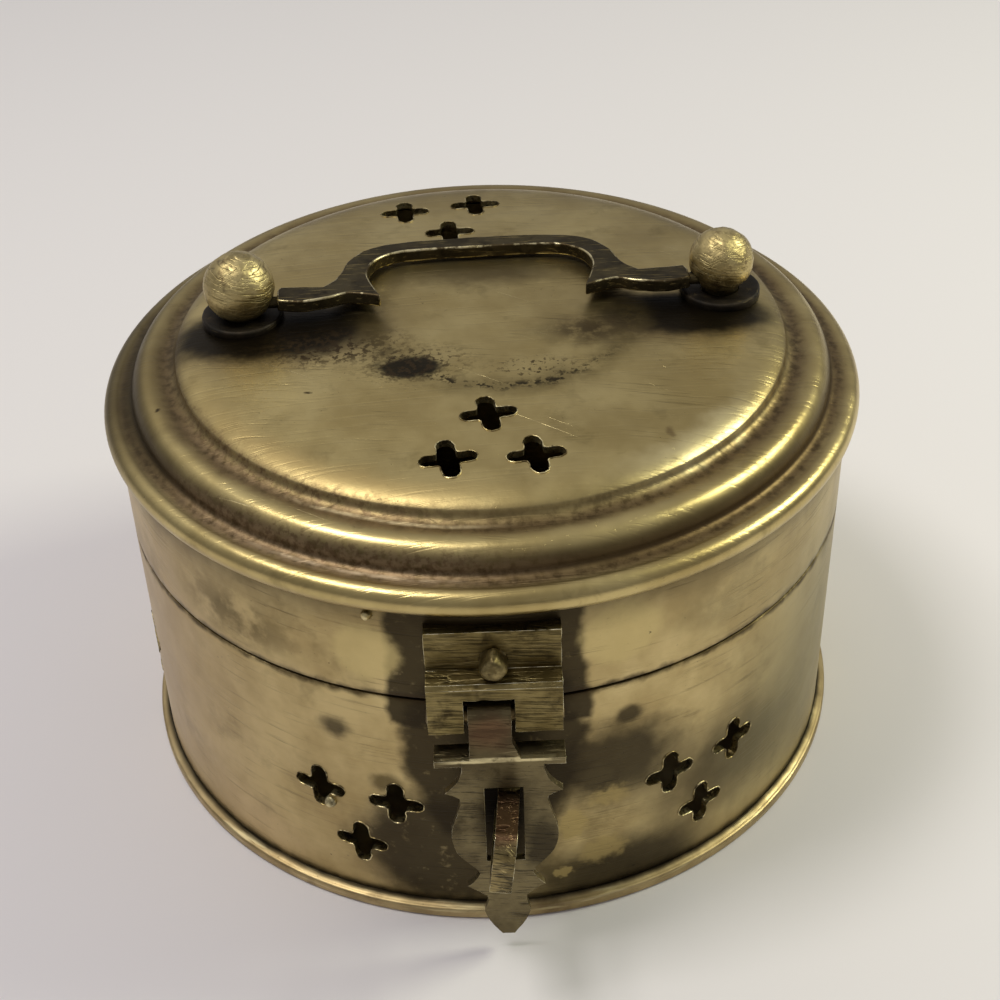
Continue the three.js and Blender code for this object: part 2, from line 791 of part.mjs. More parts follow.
// One leaf of the rear hinge: side 1 above the seam, side -1 below it.
function hingeLeaf(side, knuckles, boreGap) {
  const half = hingeWidth / 2;
  const near = side * (barrelRadius + knuckleGap);
  const far = side * (barrelRadius + knuckleGap + hingePlateHeight);
  const face = wallRadius + leafThickness;
  const back = wallRadius - leafBackInset;
  const neckTop = side * 2 * knuckleGap;
  const neckFoot = near + side * leafThickness;
  const plate = block(
    -half,
    half,
    back,
    face,
    seamHeight + Math.min(near, far),
    seamHeight + Math.max(near, far),
  );
  const axis = wallRadius + pinStandOff;
  const parts = knuckles.flatMap(([x0, x1]) => [
    rod(barrelRadius, x0, x1, axis, seamHeight),
    block(
      x0,
      x1,
      axis - barrelRadius,
      face,
      seamHeight + Math.min(neckTop, neckFoot),
      seamHeight + Math.max(neckTop, neckFoot),
    ),
  ]);
  const bore = rod(pinRadius + boreGap, -half - overcut, half + overcut, axis, seamHeight);
  return cut(join([plate, ...parts].map(solid)), [
    wallCore(),
    solid(bore),
    rivetHole(1, 0, hingeRivetHeight(side)),
  ]);
}

function hingePin() {
  const half = hingeWidth / 2 + pinOverhang;
  return solid(rod(pinRadius, -half, half, wallRadius + pinStandOff, seamHeight));
}

const brass = 0xa08a55;
const brightBrass = 0xb8a05f;
const agedBrass = 0x5d523a;
const darkBrass = 0x2b261c;

const halfHinge = hingeWidth / 2;
const innerEdge = hingeKnuckle / 2;
const outerKnuckles = [
  [-halfHinge, -innerEdge - knuckleGap],
  [innerEdge + knuckleGap, halfHinge],
];
const hingeFace = wallRadius + leafThickness;

const pieces = [
  ["base_plate", basePlate(), brightBrass, 0.35],
  ["body_wall", bodyWall(), brass, 0.38],
  ["staple", staple(), brightBrass, 0.45],
  ["lid_top", lidTop(), brass, 0.33],
  ["lid_band", lidBand(), brass, 0.38],
  ["left_post", post(-1, leftBallRadius), brightBrass, 0.3],
  ["right_post", post(1, rightBallRadius), brightBrass, 0.3],
  ["left_collar", collar(-1, leftBallRadius), darkBrass, 0.6],
  ["right_collar", collar(1, rightBallRadius), darkBrass, 0.6],
  ["handle", handle(), darkBrass, 0.5],
  ["hasp_leaf", haspLeaf(), agedBrass, 0.45],
  ["hasp_leaf_rivet", leafRivet(), agedBrass, 0.45],
  ["hasp_pin", haspPin(), darkBrass, 0.5],
  ["hasp", hasp(), agedBrass, 0.5],
  ["hinge_lower_leaf", hingeLeaf(-1, [[-innerEdge, innerEdge]], fixedGap), agedBrass, 0.45],
  ["hinge_upper_leaf", hingeLeaf(1, outerKnuckles, turningGap), agedBrass, 0.45],
  ["hinge_pin", hingePin(), darkBrass, 0.5],
  ["hinge_lower_rivet", rivet(1, hingeRivetHeight(-1), hingeFace), agedBrass, 0.45],
  ["hinge_upper_rivet", rivet(1, hingeRivetHeight(1), hingeFace), agedBrass, 0.45],
];

const trinketBox = new THREE.Group();
for (const [name, shape, colour, roughness] of pieces) {
  trinketBox.add(meshOf(name, shape, colour, roughness));
}

export default trinketBox;
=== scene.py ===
import bmesh
import bpy
import math
import random
from mathutils import Matrix, Vector


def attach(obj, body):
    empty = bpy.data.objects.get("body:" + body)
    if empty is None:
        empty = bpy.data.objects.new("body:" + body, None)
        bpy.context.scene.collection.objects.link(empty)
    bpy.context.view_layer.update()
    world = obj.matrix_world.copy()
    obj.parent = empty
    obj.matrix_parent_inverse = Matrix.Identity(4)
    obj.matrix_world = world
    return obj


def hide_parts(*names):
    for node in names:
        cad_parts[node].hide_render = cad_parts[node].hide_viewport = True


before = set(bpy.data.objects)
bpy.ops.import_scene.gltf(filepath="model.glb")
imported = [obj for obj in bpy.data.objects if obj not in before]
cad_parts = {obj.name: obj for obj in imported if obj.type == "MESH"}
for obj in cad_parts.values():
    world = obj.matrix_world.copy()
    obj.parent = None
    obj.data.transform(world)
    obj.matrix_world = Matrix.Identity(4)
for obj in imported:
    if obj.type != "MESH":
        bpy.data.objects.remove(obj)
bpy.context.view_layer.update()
mm = 0.001  # lengths below are in millimetres, the scene is in metres
random.seed(11)
print("trinket box: frame loaded")

# sizes that more than one piece uses
box = {
    "wallRadius": 51.0,
    "wallThickness": 1.0,
    "seam": 39.2,
    "seamGap": 0.3,
    "baseThickness": 1.7,
    "pinY": -53.4,
    "pinZ": 39.6,
    "pinRadius": 1.0,
    "pinFit": 0.05,
    "pinPlay": 0.2,
    "barrelRadius": 2.0,
    "hingeY": 53.4,
    "bandTop": 55.2,
    "worn": 0.25,
    "roundSteps": 256,
}
wallRadius, seam, barrelRadius = box["wallRadius"], box["seam"], box["barrelRadius"]
pinY, pinZ, hingeY = box["pinY"], box["pinZ"], box["hingeY"]


# modelling helpers
def setMode(mode):
    bpy.ops.object.mode_set(mode=mode)


def selectMesh():
    bpy.ops.mesh.select_all(action="SELECT")


def settle():
    bpy.ops.object.transform_apply(location=True, rotation=True, scale=True)


def pick(piece):
    bpy.ops.object.select_all(action="DESELECT")
    piece.select_set(True)
    bpy.context.view_layer.objects.active = piece


def nameNew(name):
    piece = bpy.context.active_object
    piece.name = name
    piece.data.name = name
    return piece


def stand(piece, matrix):
    # puts a piece in its place and keeps the place in its mesh
    pick(piece)
    piece.matrix_world = matrix
    settle()


def moveTo(x, y, z):
    return Matrix.Translation(Vector((x, y, z)) * mm)


def turnBy(degrees, axis):
    return Matrix.Rotation(math.radians(degrees), 4, axis)


def smoothLine(points, steps):
    # a curve through every point
    line = []
    last = len(points) - 1
    for step in range(steps + 1):
        along = last * step / steps
        i = min(int(along), last - 1)
        t = along - i
        four = [points[max(i - 1, 0)], points[i], points[i + 1], points[min(i + 2, last)]]
        spot = []
        for a, b, c, d in zip(*four):
            slopeB = (c - a) / 2
            slopeC = (d - b) / 2
            cubic = 2 * b - 2 * c + slopeB + slopeC
            square = -3 * b + 3 * c - 2 * slopeB - slopeC
            spot.append(cubic * t**3 + square * t**2 + slopeB * t + b)
        line.append(tuple(spot))
    return line


def lengthsAlong(line):
    lengths = [0.0]
    for a, b in zip(line, line[1:]):
        lengths.append(lengths[-1] + math.dist(a, b))
    return lengths


def arcLine(x, y, radius, start, end, steps):
    angles = [math.radians(start + (end - start) * i / steps) for i in range(steps + 1)]
    return [(x + radius * math.cos(a), y + radius * math.sin(a)) for a in angles]


def turnedPiece(name, section, steps=box["roundSteps"]):
    # extrudes a section of radius and height point by point, then spins it round Z
    bpy.ops.mesh.primitive_plane_add(size=mm)
    piece = nameNew(name)
    setMode("EDIT")
    selectMesh()
    bpy.ops.mesh.merge(type="CENTER")
    last = (0, 0)
    for count, point in enumerate(section):
        step = ((point[0] - last[0]) * mm, 0, (point[1] - last[1]) * mm)
        if count == 0:
            bpy.ops.transform.translate(value=step)
        else:
            bpy.ops.mesh.extrude_vertices_move(TRANSFORM_OT_translate={"value": step})
        last = point
    selectMesh()
    bpy.ops.mesh.remove_doubles(threshold=0.002 * mm)
    selectMesh()
    bpy.ops.mesh.spin(steps=steps, angle=math.tau, center=(0, 0, 0), axis=(0, 0, 1))
    selectMesh()
    bpy.ops.mesh.remove_doubles(threshold=0.002 * mm)
    bpy.ops.mesh.normals_make_consistent(inside=False)
    setMode("OBJECT")
    return piece


def outlinePiece(name, outline, depth):
    # a flat outline of x and y, pulled up along z
    bpy.ops.mesh.primitive_circle_add(vertices=len(outline), radius=mm, fill_type="NGON")
    piece = nameNew(name)
    setMode("EDIT")
    work = bmesh.from_edit_mesh(piece.data)
    for vertex, (x, y) in zip(work.verts, outline):
        vertex.co = Vector((x, y, 0)) * mm
    bmesh.update_edit_mesh(piece.data)
    selectMesh()
    bpy.ops.mesh.extrude_region_move(TRANSFORM_OT_translate={"value": (0, 0, depth * mm)})
    selectMesh()
    bpy.ops.mesh.normals_make_consistent(inside=False)
    setMode("OBJECT")
    return piece


def sidewaysPiece(name, outline, left, right):
    # an outline of y and z, pulled out along x
    piece = outlinePiece(name, outline, right - left)
    axes = Matrix(((0, 0, 1, 0), (1, 0, 0, 0), (0, 1, 0, 0), (0, 0, 0, 1)))
    stand(piece, moveTo(left, 0, 0) @ axes)
    return piece


def blockPiece(name, low, high):
    middle = [(a + b) / 2 * mm for a, b in zip(low, high)]
    span = [(b - a) * mm for a, b in zip(low, high)]
    bpy.ops.mesh.primitive_cube_add(size=1, location=middle, scale=span)
    piece = nameNew(name)
    settle()
    return piece


def rodPiece(name, radius, left, right, y, z, sides=48):
    # a rod along X
    place = Vector(((left + right) / 2, y, z)) * mm
    bpy.ops.mesh.primitive_cylinder_add(
        vertices=sides, radius=radius * mm, depth=(right - left) * mm, location=place,
        rotation=(0, math.pi / 2, 0),
    )
    piece = nameNew(name)
    settle()
    return piece


def give(owner, settings):
    for key, value in settings.items():
        setattr(owner, key, value)
    return owner


def modify(piece, kind, **settings):
    change = give(piece.modifiers.new(kind.lower(), kind), settings)
    pick(piece)
    bpy.ops.object.modifier_apply(modifier=change.name)


def coat(piece, *finishes):
    for finish in finishes:
        piece.data.materials.append(finish)


def carve(piece, other, operation="DIFFERENCE"):
    modify(piece, "BOOLEAN", operation=operation, solver="MANIFOLD", object=other, material_mode="TRANSFER")
    bpy.data.objects.remove(other)


def joinPieces(piece, others):
    pick(piece)
    for other in others:
        other.select_set(True)
    bpy.ops.object.join()


def subdivideAlong(piece, positions, axis):
    # cuts a piece through at each place along an axis, so that its edges can be worn
    pick(piece)
    setMode("EDIT")
    normal = [0, 0, 0]
    normal["xyz".index(axis)] = 1
    for position in positions:
        selectMesh()
        bpy.ops.mesh.bisect(plane_co=[n * position * mm for n in normal], plane_no=normal)
    setMode("OBJECT")


def unevenness(piece, size, strength, inwards=0.0):
    # pushes the surface in and out a little, as hand work leaves it, or more inwards
    clouds = bpy.data.textures.new(piece.name + "Unevenness", "CLOUDS")
    clouds.noise_scale = size * mm
    clouds.noise_depth = 2
    modify(
        piece, "DISPLACE", texture=clouds, texture_coords="LOCAL", strength=strength * mm,
        mid_level=0.5 + inwards,
    )


def roundEdges(piece, width, segments, angle, slotIndex=-1):
    modify(
        piece, "BEVEL", width=width * mm, segments=segments, limit_method="ANGLE",
        angle_limit=math.radians(angle), material=slotIndex, use_clamp_overlap=True,
    )


def finishPiece(piece, body, node, flats=False, angle=38):
    pick(piece)
    bpy.ops.object.shade_smooth_by_angle(angle=math.radians(angle))
    if flats:
        modify(piece, "WEIGHTED_NORMAL", keep_sharp=True, weight=80)
    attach(piece, body)
    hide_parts(node)


# the brass's tones, in red, green and blue as the eye sees them
tones = {
    "mid": (176, 156, 102),
    "light": (204, 185, 128),
    "bright": (240, 226, 176),
    "olive": (104, 90, 56),
    "umber": (96, 76, 54),
    "brown": (64, 51, 32),
    "black": (30, 25, 17),
    "red": (112, 84, 62),
    "grey": (122, 116, 94),
    "shade": (54, 46, 32),
}


# material helpers
def paint(colour):
    # a tone by its name, or a colour by its three parts
    def linear(part):
        part = part / 255
        return part / 12.92 if part <= 0.04045 else ((part + 0.055) / 1.055) ** 2.4

    return (*[linear(part) for part in tones.get(colour, colour)], 1.0)


def feed(socket, value):
    if isinstance(value, bpy.types.NodeSocket):
        socket.id_data.links.new(value, socket)
    else:
        socket.default_value = value


def addNode(near, kind, **settings):
    # a node in the tree that a socket belongs to
    return give(near.id_data.nodes.new("ShaderNode" + kind), settings)


def calculate(operation, first, second=0.0):
    node = addNode(first, "Math", operation=operation)
    feed(node.inputs[0], first)
    feed(node.inputs[1], second)
    return node.outputs[0]


def times(first, second):
    return calculate("MULTIPLY", first, second)


def vectorStep(operation, *values):
    node = addNode(values[0], "VectorMath", operation=operation)
    for socket, value in zip(node.inputs, values):
        feed(socket, value)
    return node.outputs["Value" if operation == "LENGTH" else "Vector"]


def ease(value, low, high, start=0.0, end=1.0):
    node = addNode(value, "MapRange", interpolation_type="SMOOTHSTEP")
    for socket, setting in zip(node.inputs, (value, low, high, start, end)):
        feed(socket, setting)
    return node.outputs[0]


def mixNumber(mask, under, over, kind="FLOAT", slot=2, output=0):
    node = addNode(mask, "Mix", data_type=kind)
    for i, value in ((0, mask), (slot, under), (slot + 1, over)):
        feed(node.inputs[i], value)
    return node.outputs[output]


def mixColour(mask, under, over):
    return mixNumber(mask, under, paint(over), "RGBA", 6, 2)


def noise(place, size, detail):
    clouds = addNode(place, "TexNoise")
    clouds.inputs["Scale"].default_value = 1 / (size * mm)
    clouds.inputs["Detail"].default_value = detail
    feed(clouds.inputs["Vector"], place)
    return clouds


def grain(place, size, low, high, stretch=(1, 1, 1), turn=(0, 0, 0), detail=4, shift=0.0):
    # noise whose marks are about size millimetres, longer along the stretched axes
    mapping = addNode(place, "Mapping", vector_type="TEXTURE")
    place = [place, (shift, shift * 0.7, shift * 0.4), [math.radians(a) for a in turn], stretch]
    for socket, value in zip(mapping.inputs, place):
        feed(socket, value)
    clouds = noise(mapping.outputs[0], size, detail)
    clouds.inputs["Roughness"].default_value = 0.6
    return ease(clouds.outputs[0], low, high)


def wobbled(place, size, amount):
    # the same coordinates pushed about, for ragged borders
    push = vectorStep("SUBTRACT", noise(place, size, 4).outputs["Color"], (0.5, 0.5, 0.5))
    return vectorStep("MULTIPLY_ADD", push, [2 * amount * mm] * 3, place)


def split(place):
    parts = addNode(place, "SeparateXYZ")
    feed(parts.inputs[0], place)
    return parts.outputs


def millimetres(values):
    return [value * mm for value in values]


def patchMask(place, centre, reach, soft):
    # 1 inside an ellipsoid, falling to 0 at its border
    offset = vectorStep("SUBTRACT", place, millimetres(centre))
    share = vectorStep("DIVIDE", offset, millimetres(reach))
    return ease(vectorStep("LENGTH", share), 1 - soft, 1, 1, 0)


def slabMask(place, centre, reach, soft):
    # 1 inside a box, falling to 0 at its faces
    offset = vectorStep("SUBTRACT", place, millimetres(centre))
    shares = []
    for output, half in zip(split(offset), reach):
        size = calculate("ABSOLUTE", output)
        shares.append(calculate("DIVIDE", size, half * mm))
    most = calculate("MAXIMUM", calculate("MAXIMUM", shares[0], shares[1]), shares[2])
    return ease(most, 1 - soft, 1, 1, 0)


def nearMask(value, middle, width):
    # 1 where a value has its middle, falling to 0 at a distance from it
    away = calculate("ABSOLUTE", calculate("SUBTRACT", value, middle * mm))
    return ease(away, 0, width * mm, 1, 0)


def hoopMask(place, centre, radius, width):
    offset = vectorStep("SUBTRACT", place, millimetres((*centre, 0)))
    across = vectorStep("LENGTH", vectorStep("MULTIPLY", offset, (1, 1, 0)))
    return nearMask(across, radius, width)


def levelMask(place, height, width):
    return nearMask(split(place)[2], height, width)


def zoneMask(place, ragged, zone):
    # edge wobbles a zone's border, broken breaks it up, within fades it out away from a place
    if "edge" in zone:
        ragged = wobbled(place, *zone["edge"])
    mask = zone["mask"](ragged, *zone["shape"])
    if "broken" in zone:
        size, low, high = zone["broken"]
        mask = times(mask, grain(place, size, low, high, shift=0.011))
    if "within" in zone:
        mask = times(mask, patchMask(place, *zone["within"]))
    return times(mask, zone["amount"])


# zones: an ellipsoid, a box, a ring round Z and a height
def patch(at, reach, colour, amount=1.0, soft=0.4, **more):
    return {"mask": patchMask, "shape": (at, reach, soft), "colour": colour, "amount": amount, **more}


def slab(at, reach, colour, amount, soft, **more):
    return {"mask": slabMask, "shape": (at, reach, soft), "colour": colour, "amount": amount, **more}


def hoop(radius, width, colour, amount, at=(0, 0), **more):
    return {"mask": hoopMask, "shape": (at, radius, width), "colour": colour, "amount": amount, **more}


def level(height, width, colour, amount, **more):
    return {"mask": levelMask, "shape": (height, width), "colour": colour, "amount": amount, **more}


def strokes(size, limits, stretch, colour, amount, height, **more):
    # scratches and file marks, drawn out along the stretched axis
    marks = {"size": size, "limits": limits, "stretch": stretch}
    return {**marks, "colour": colour, "amount": amount, "height": height, **more}


# what a look is where it doesn't say otherwise
plainLook = {
    "roughTarnish": 0.5, "cloudSize": 14, "tarnishSize": 7, "tarnishRange": (0.55, 0.72), "tarnishAmount": 0.6,
    "ragged": 1.2, "raggedSize": 3, "pit": "black", "pitSize": 0.55, "pitAmount": 0.6, "pitDepth": -0.8,
    "swell": 1.6, "swellSize": 11, "skin": 0.12, "skinSize": 0.7, "bump": 0.6, "bumpDepth": 0.1,
    "metallic": 1.0, "zones": [], "marks": [],
}


def brass(name, look):
    # old brass: uneven tone, tarnish, marks along one direction, pits, and the look's own zones
    look = {**plainLook, **look}
    made = bpy.data.materials.new(name)
    made.use_nodes = True
    shader = made.node_tree.nodes["Principled BSDF"].inputs
    place = addNode(shader[0], "TexCoord").outputs["Object"]
    ragged = wobbled(place, look["raggedSize"], look["ragged"])

    clouds = grain(place, look["cloudSize"], 0.35, 0.68)
    tone = mixColour(clouds, paint(look["mid"]), look["light"])
    rough = mixNumber(grain(place, 6, 0.3, 0.7, shift=0.03), look["rough"], look["rough"] * 1.25)
    tarnish = grain(ragged, look["tarnishSize"], *look["tarnishRange"])
    tarnish = times(tarnish, look["tarnishAmount"])
    tone = mixColour(tarnish, tone, look["tarnish"])
    rough = mixNumber(tarnish, rough, look["roughTarnish"])

    heights = []
    for marks in look["marks"]:
        turn = marks.get("turn", (0, 0, 0))
        size, low, high = marks["size"], *marks["limits"]
        lines = grain(place, size, low, high, marks["stretch"], turn, 3, marks.get("shift", 0.0))
        if "patches" in marks:
            size, low, high = marks["patches"]
            lines = times(lines, grain(place, size, low, high, shift=0.07))
        tone = mixColour(times(lines, marks["amount"]), tone, marks["colour"])
        heights.append(times(lines, marks["height"]))

    for zone in look["zones"]:
        mask = zoneMask(place, ragged, zone)
        tone = mixColour(mask, tone, zone["colour"])
        rough = mixNumber(mask, rough, zone.get("rough", look["roughTarnish"]))

    pits = grain(place, look["pitSize"], 0.66, 0.74, shift=0.05)
    pits = times(pits, grain(place, 9, 0.48, 0.6, shift=0.02))
    pits = times(pits, look["pitAmount"])
    tone = mixColour(pits, tone, look["pit"])
    heights.append(times(pits, look["pitDepth"]))
    heights.append(times(grain(place, look["swellSize"], 0.2, 0.8, detail=2), look["swell"]))
    heights.append(times(grain(place, look["skinSize"], 0.2, 0.8), look["skin"]))

    height = heights[0]
    for other in heights[1:]:
        height = calculate("ADD", height, other)
    bump = addNode(height, "Bump")
    for key, value in (("Strength", look["bump"]), ("Distance", look["bumpDepth"] * mm), ("Height", height)):
        feed(bump.inputs[key], value)
    settings = {"Base Color": tone, "Roughness": rough, "Metallic": look["metallic"], "Normal": bump.outputs[0]}
    for key, value in settings.items():
        feed(shader[key], value)
    return made


crossRim = brass("crossRim", {
    "mid": "mid", "light": "bright", "tarnish": "brown",
    "rough": 0.32, "roughTarnish": 0.55, "cloudSize": 2.5, "tarnishSize": 1.4, "tarnishRange": (0.4, 0.6),
    "tarnishAmount": 0.9, "swell": 0.4,
})
print("trinket box: finishes ready")


# pierced crosses
crosses = {
    "span": 7.4,
    "tallArm": 2.4,  # the arm that stands up, or points inwards on the lid
    "wideArm": 2.15,
    "points": 96,
    "lump": 0.05,
    "pitch": 10.8,
    "drop": 8.7,
    "bodyHeight": 20.0,
    "bodyAngles": [-141, -81, -21.2, 32.6, 93, 153],
    "lidRadius": 33.2,
    "lidHeight": 63,
    "lidClusters": [(1.5, 9), (-170.5, 4)],
    "armShares": (0.94, 1.04),
    "rim": 0.1,  # radius of the burr round each cross
    "rimReach": 1.015,
    "rimShares": (0.35, 1.3),
}


# three in a triangle for each cluster: two side by side and the third at their far side
clusterSpots = [(-crosses["pitch"] / 2, 0), (crosses["pitch"] / 2, 0), (0, crosses["drop"])]
wallPlaces = [
    turnBy(angle + math.degrees(along / wallRadius), "Z")
    @ moveTo(0, -wallRadius, crosses["bodyHeight"] - down)
    @ turnBy(90, "X")
    for angle in crosses["bodyAngles"]
    for along, down in clusterSpots
]
lidPlaces = [
    turnBy(angle, "Z")
    @ moveTo(along, inwards - crosses["lidRadius"], crosses["lidHeight"])
    @ turnBy(twist - angle, "Z")
    for angle, twist in crosses["lidClusters"]
    for along, inwards in clusterSpots
]


def slotEdge(angle, halfWidth, reach):
    # from the middle to the border of a round-ended slot that lies at angle 0
    across, along = abs(math.sin(angle)), abs(math.cos(angle))
    straight = reach - halfWidth
    if along * halfWidth <= straight * across:
        return halfWidth / across
    return straight * along + math.sqrt(halfWidth**2 - (straight * across) ** 2)


def crossOutline():
    reach = crosses["span"] / 2
    shares = [random.uniform(*crosses["armShares"]) for arm in range(4)]
    dense = []
    for i in range(720):
        angle = math.tau * i / 720
        wide = slotEdge(angle, crosses["wideArm"] / 2, reach)
        tall = slotEdge(angle - math.pi / 2, crosses["tallArm"] / 2, reach)
        arm = int(((angle + math.pi / 4) % math.tau) / (math.pi / 2))
        radius = max(wide, tall)
        if radius > crosses["tallArm"]:
            radius = crosses["tallArm"] + (radius - crosses["tallArm"]) * shares[arm]
        dense.append((radius * math.cos(angle), radius * math.sin(angle)))
    lengths = lengthsAlong(dense + dense[:1])
    outline = []
    at = 0
    for i in range(crosses["points"]):
        wanted = lengths[-1] * i / crosses["points"]
        while lengths[at + 1] < wanted:
            at += 1
        outline.append(dense[at % len(dense)])
    for turn in range(2):  # softens the inner corners
        outline = [
            ((a[0] + 2 * b[0] + c[0]) / 4, (a[1] + 2 * b[1] + c[1]) / 4)
            for a, b, c in zip(outline[-1:] + outline[:-1], outline, outline[1:] + outline[:1])
        ]
    lump = crosses["lump"]
    return [(x + random.uniform(-lump, lump), y + random.uniform(-lump, lump)) for x, y in outline]


def pierce(piece, places, depth, toSurface):
    # cuts each cross through the sheet and lays its burr on the outside
    cutters, burrs = [], []
    for place in places:
        outline = crossOutline()
        cutter = outlinePiece("crossCutter", outline, 2 * depth)
        coat(cutter, crossRim)
        stand(cutter, place @ moveTo(0, 0, -depth))
        cutters.append(cutter)
        bpy.ops.mesh.primitive_circle_add(vertices=len(outline), radius=mm, fill_type="NOTHING")
        burr = nameNew("crossBurr")
        reach = crosses["rimReach"]
        for vertex, (x, y) in zip(burr.data.vertices, outline):
            vertex.co = toSurface(place @ (Vector((x * reach, y * reach, 0)) * mm))
        bpy.ops.object.convert(target="CURVE")
        burr = bpy.context.active_object
        burr.data.dimensions = "3D"
        burr.data.bevel_depth = crosses["rim"] * mm
        burr.data.bevel_resolution = 2
        swell = [random.uniform(*crosses["rimShares"]) for point in outline]
        for spline in burr.data.splines:
            for i, point in enumerate(spline.points):
                point.radius = (swell[i - 2] + swell[i - 1] + swell[i]) / 3
        bpy.ops.object.convert(target="MESH")
        burr = bpy.context.active_object
        coat(burr, crossRim)
        burrs.append(burr)
    joinPieces(cutters[0], cutters[1:])
    carve(piece, cutters[0])
    return burrs


# lid top
lid = {
    "dome": 1.2,
    "discHeight": 63.2,
    "rollStart": 36.5,
    "roll": [(36.5, 63.2), (38.6, 62.98), (40.2, 62.62), (41.3, 62.17), (41.9, 61.75)],
    "band": [(41.9, 61.75), (42.15, 61.1), (42.7, 60.65), (43.6, 60.4), (44.6, 60.47), (45.7, 60.5),
             (46.7, 60.22), (47.5, 59.55), (48.0, 58.75), (48.25, 57.95)],
    "cove": [(48.25, 57.95), (48.35, 57.35), (48.8, 56.98), (49.4, 56.83), (50.23, 56.74)],
    "bead": (50.66, 55.0, 1.78, 105, -52, 20),
    "rows": 28,
    "sheet": 0.9,
}


def lidSection():
    section = []
    for i in range(lid["rows"]):
        radius = lid["rollStart"] * i / lid["rows"]
        section.append((radius, lid["discHeight"] + lid["dome"] * (1 - (radius / lid["rollStart"]) ** 2)))
    section += smoothLine(lid["roll"], 10)[:-1]
    section += smoothLine(lid["band"], 26)[:-1]
    section += smoothLine(lid["cove"], 8)[:-1]
    section += arcLine(*lid["bead"])
    return section


def lidHeight(radius):
    section = lidSection()
    for a, b in zip(section, section[1:]):
        if a[0] <= radius <= b[0] and b[0] > a[0]:
            return a[1] + (b[1] - a[1]) * (radius - a[0]) / (b[0] - a[0])
    return section[0][1]


def onLid(spot):
    radius = math.hypot(spot.x, spot.y) / mm
    return Vector((spot.x, spot.y, (lidHeight(radius) + 0.02) * mm))


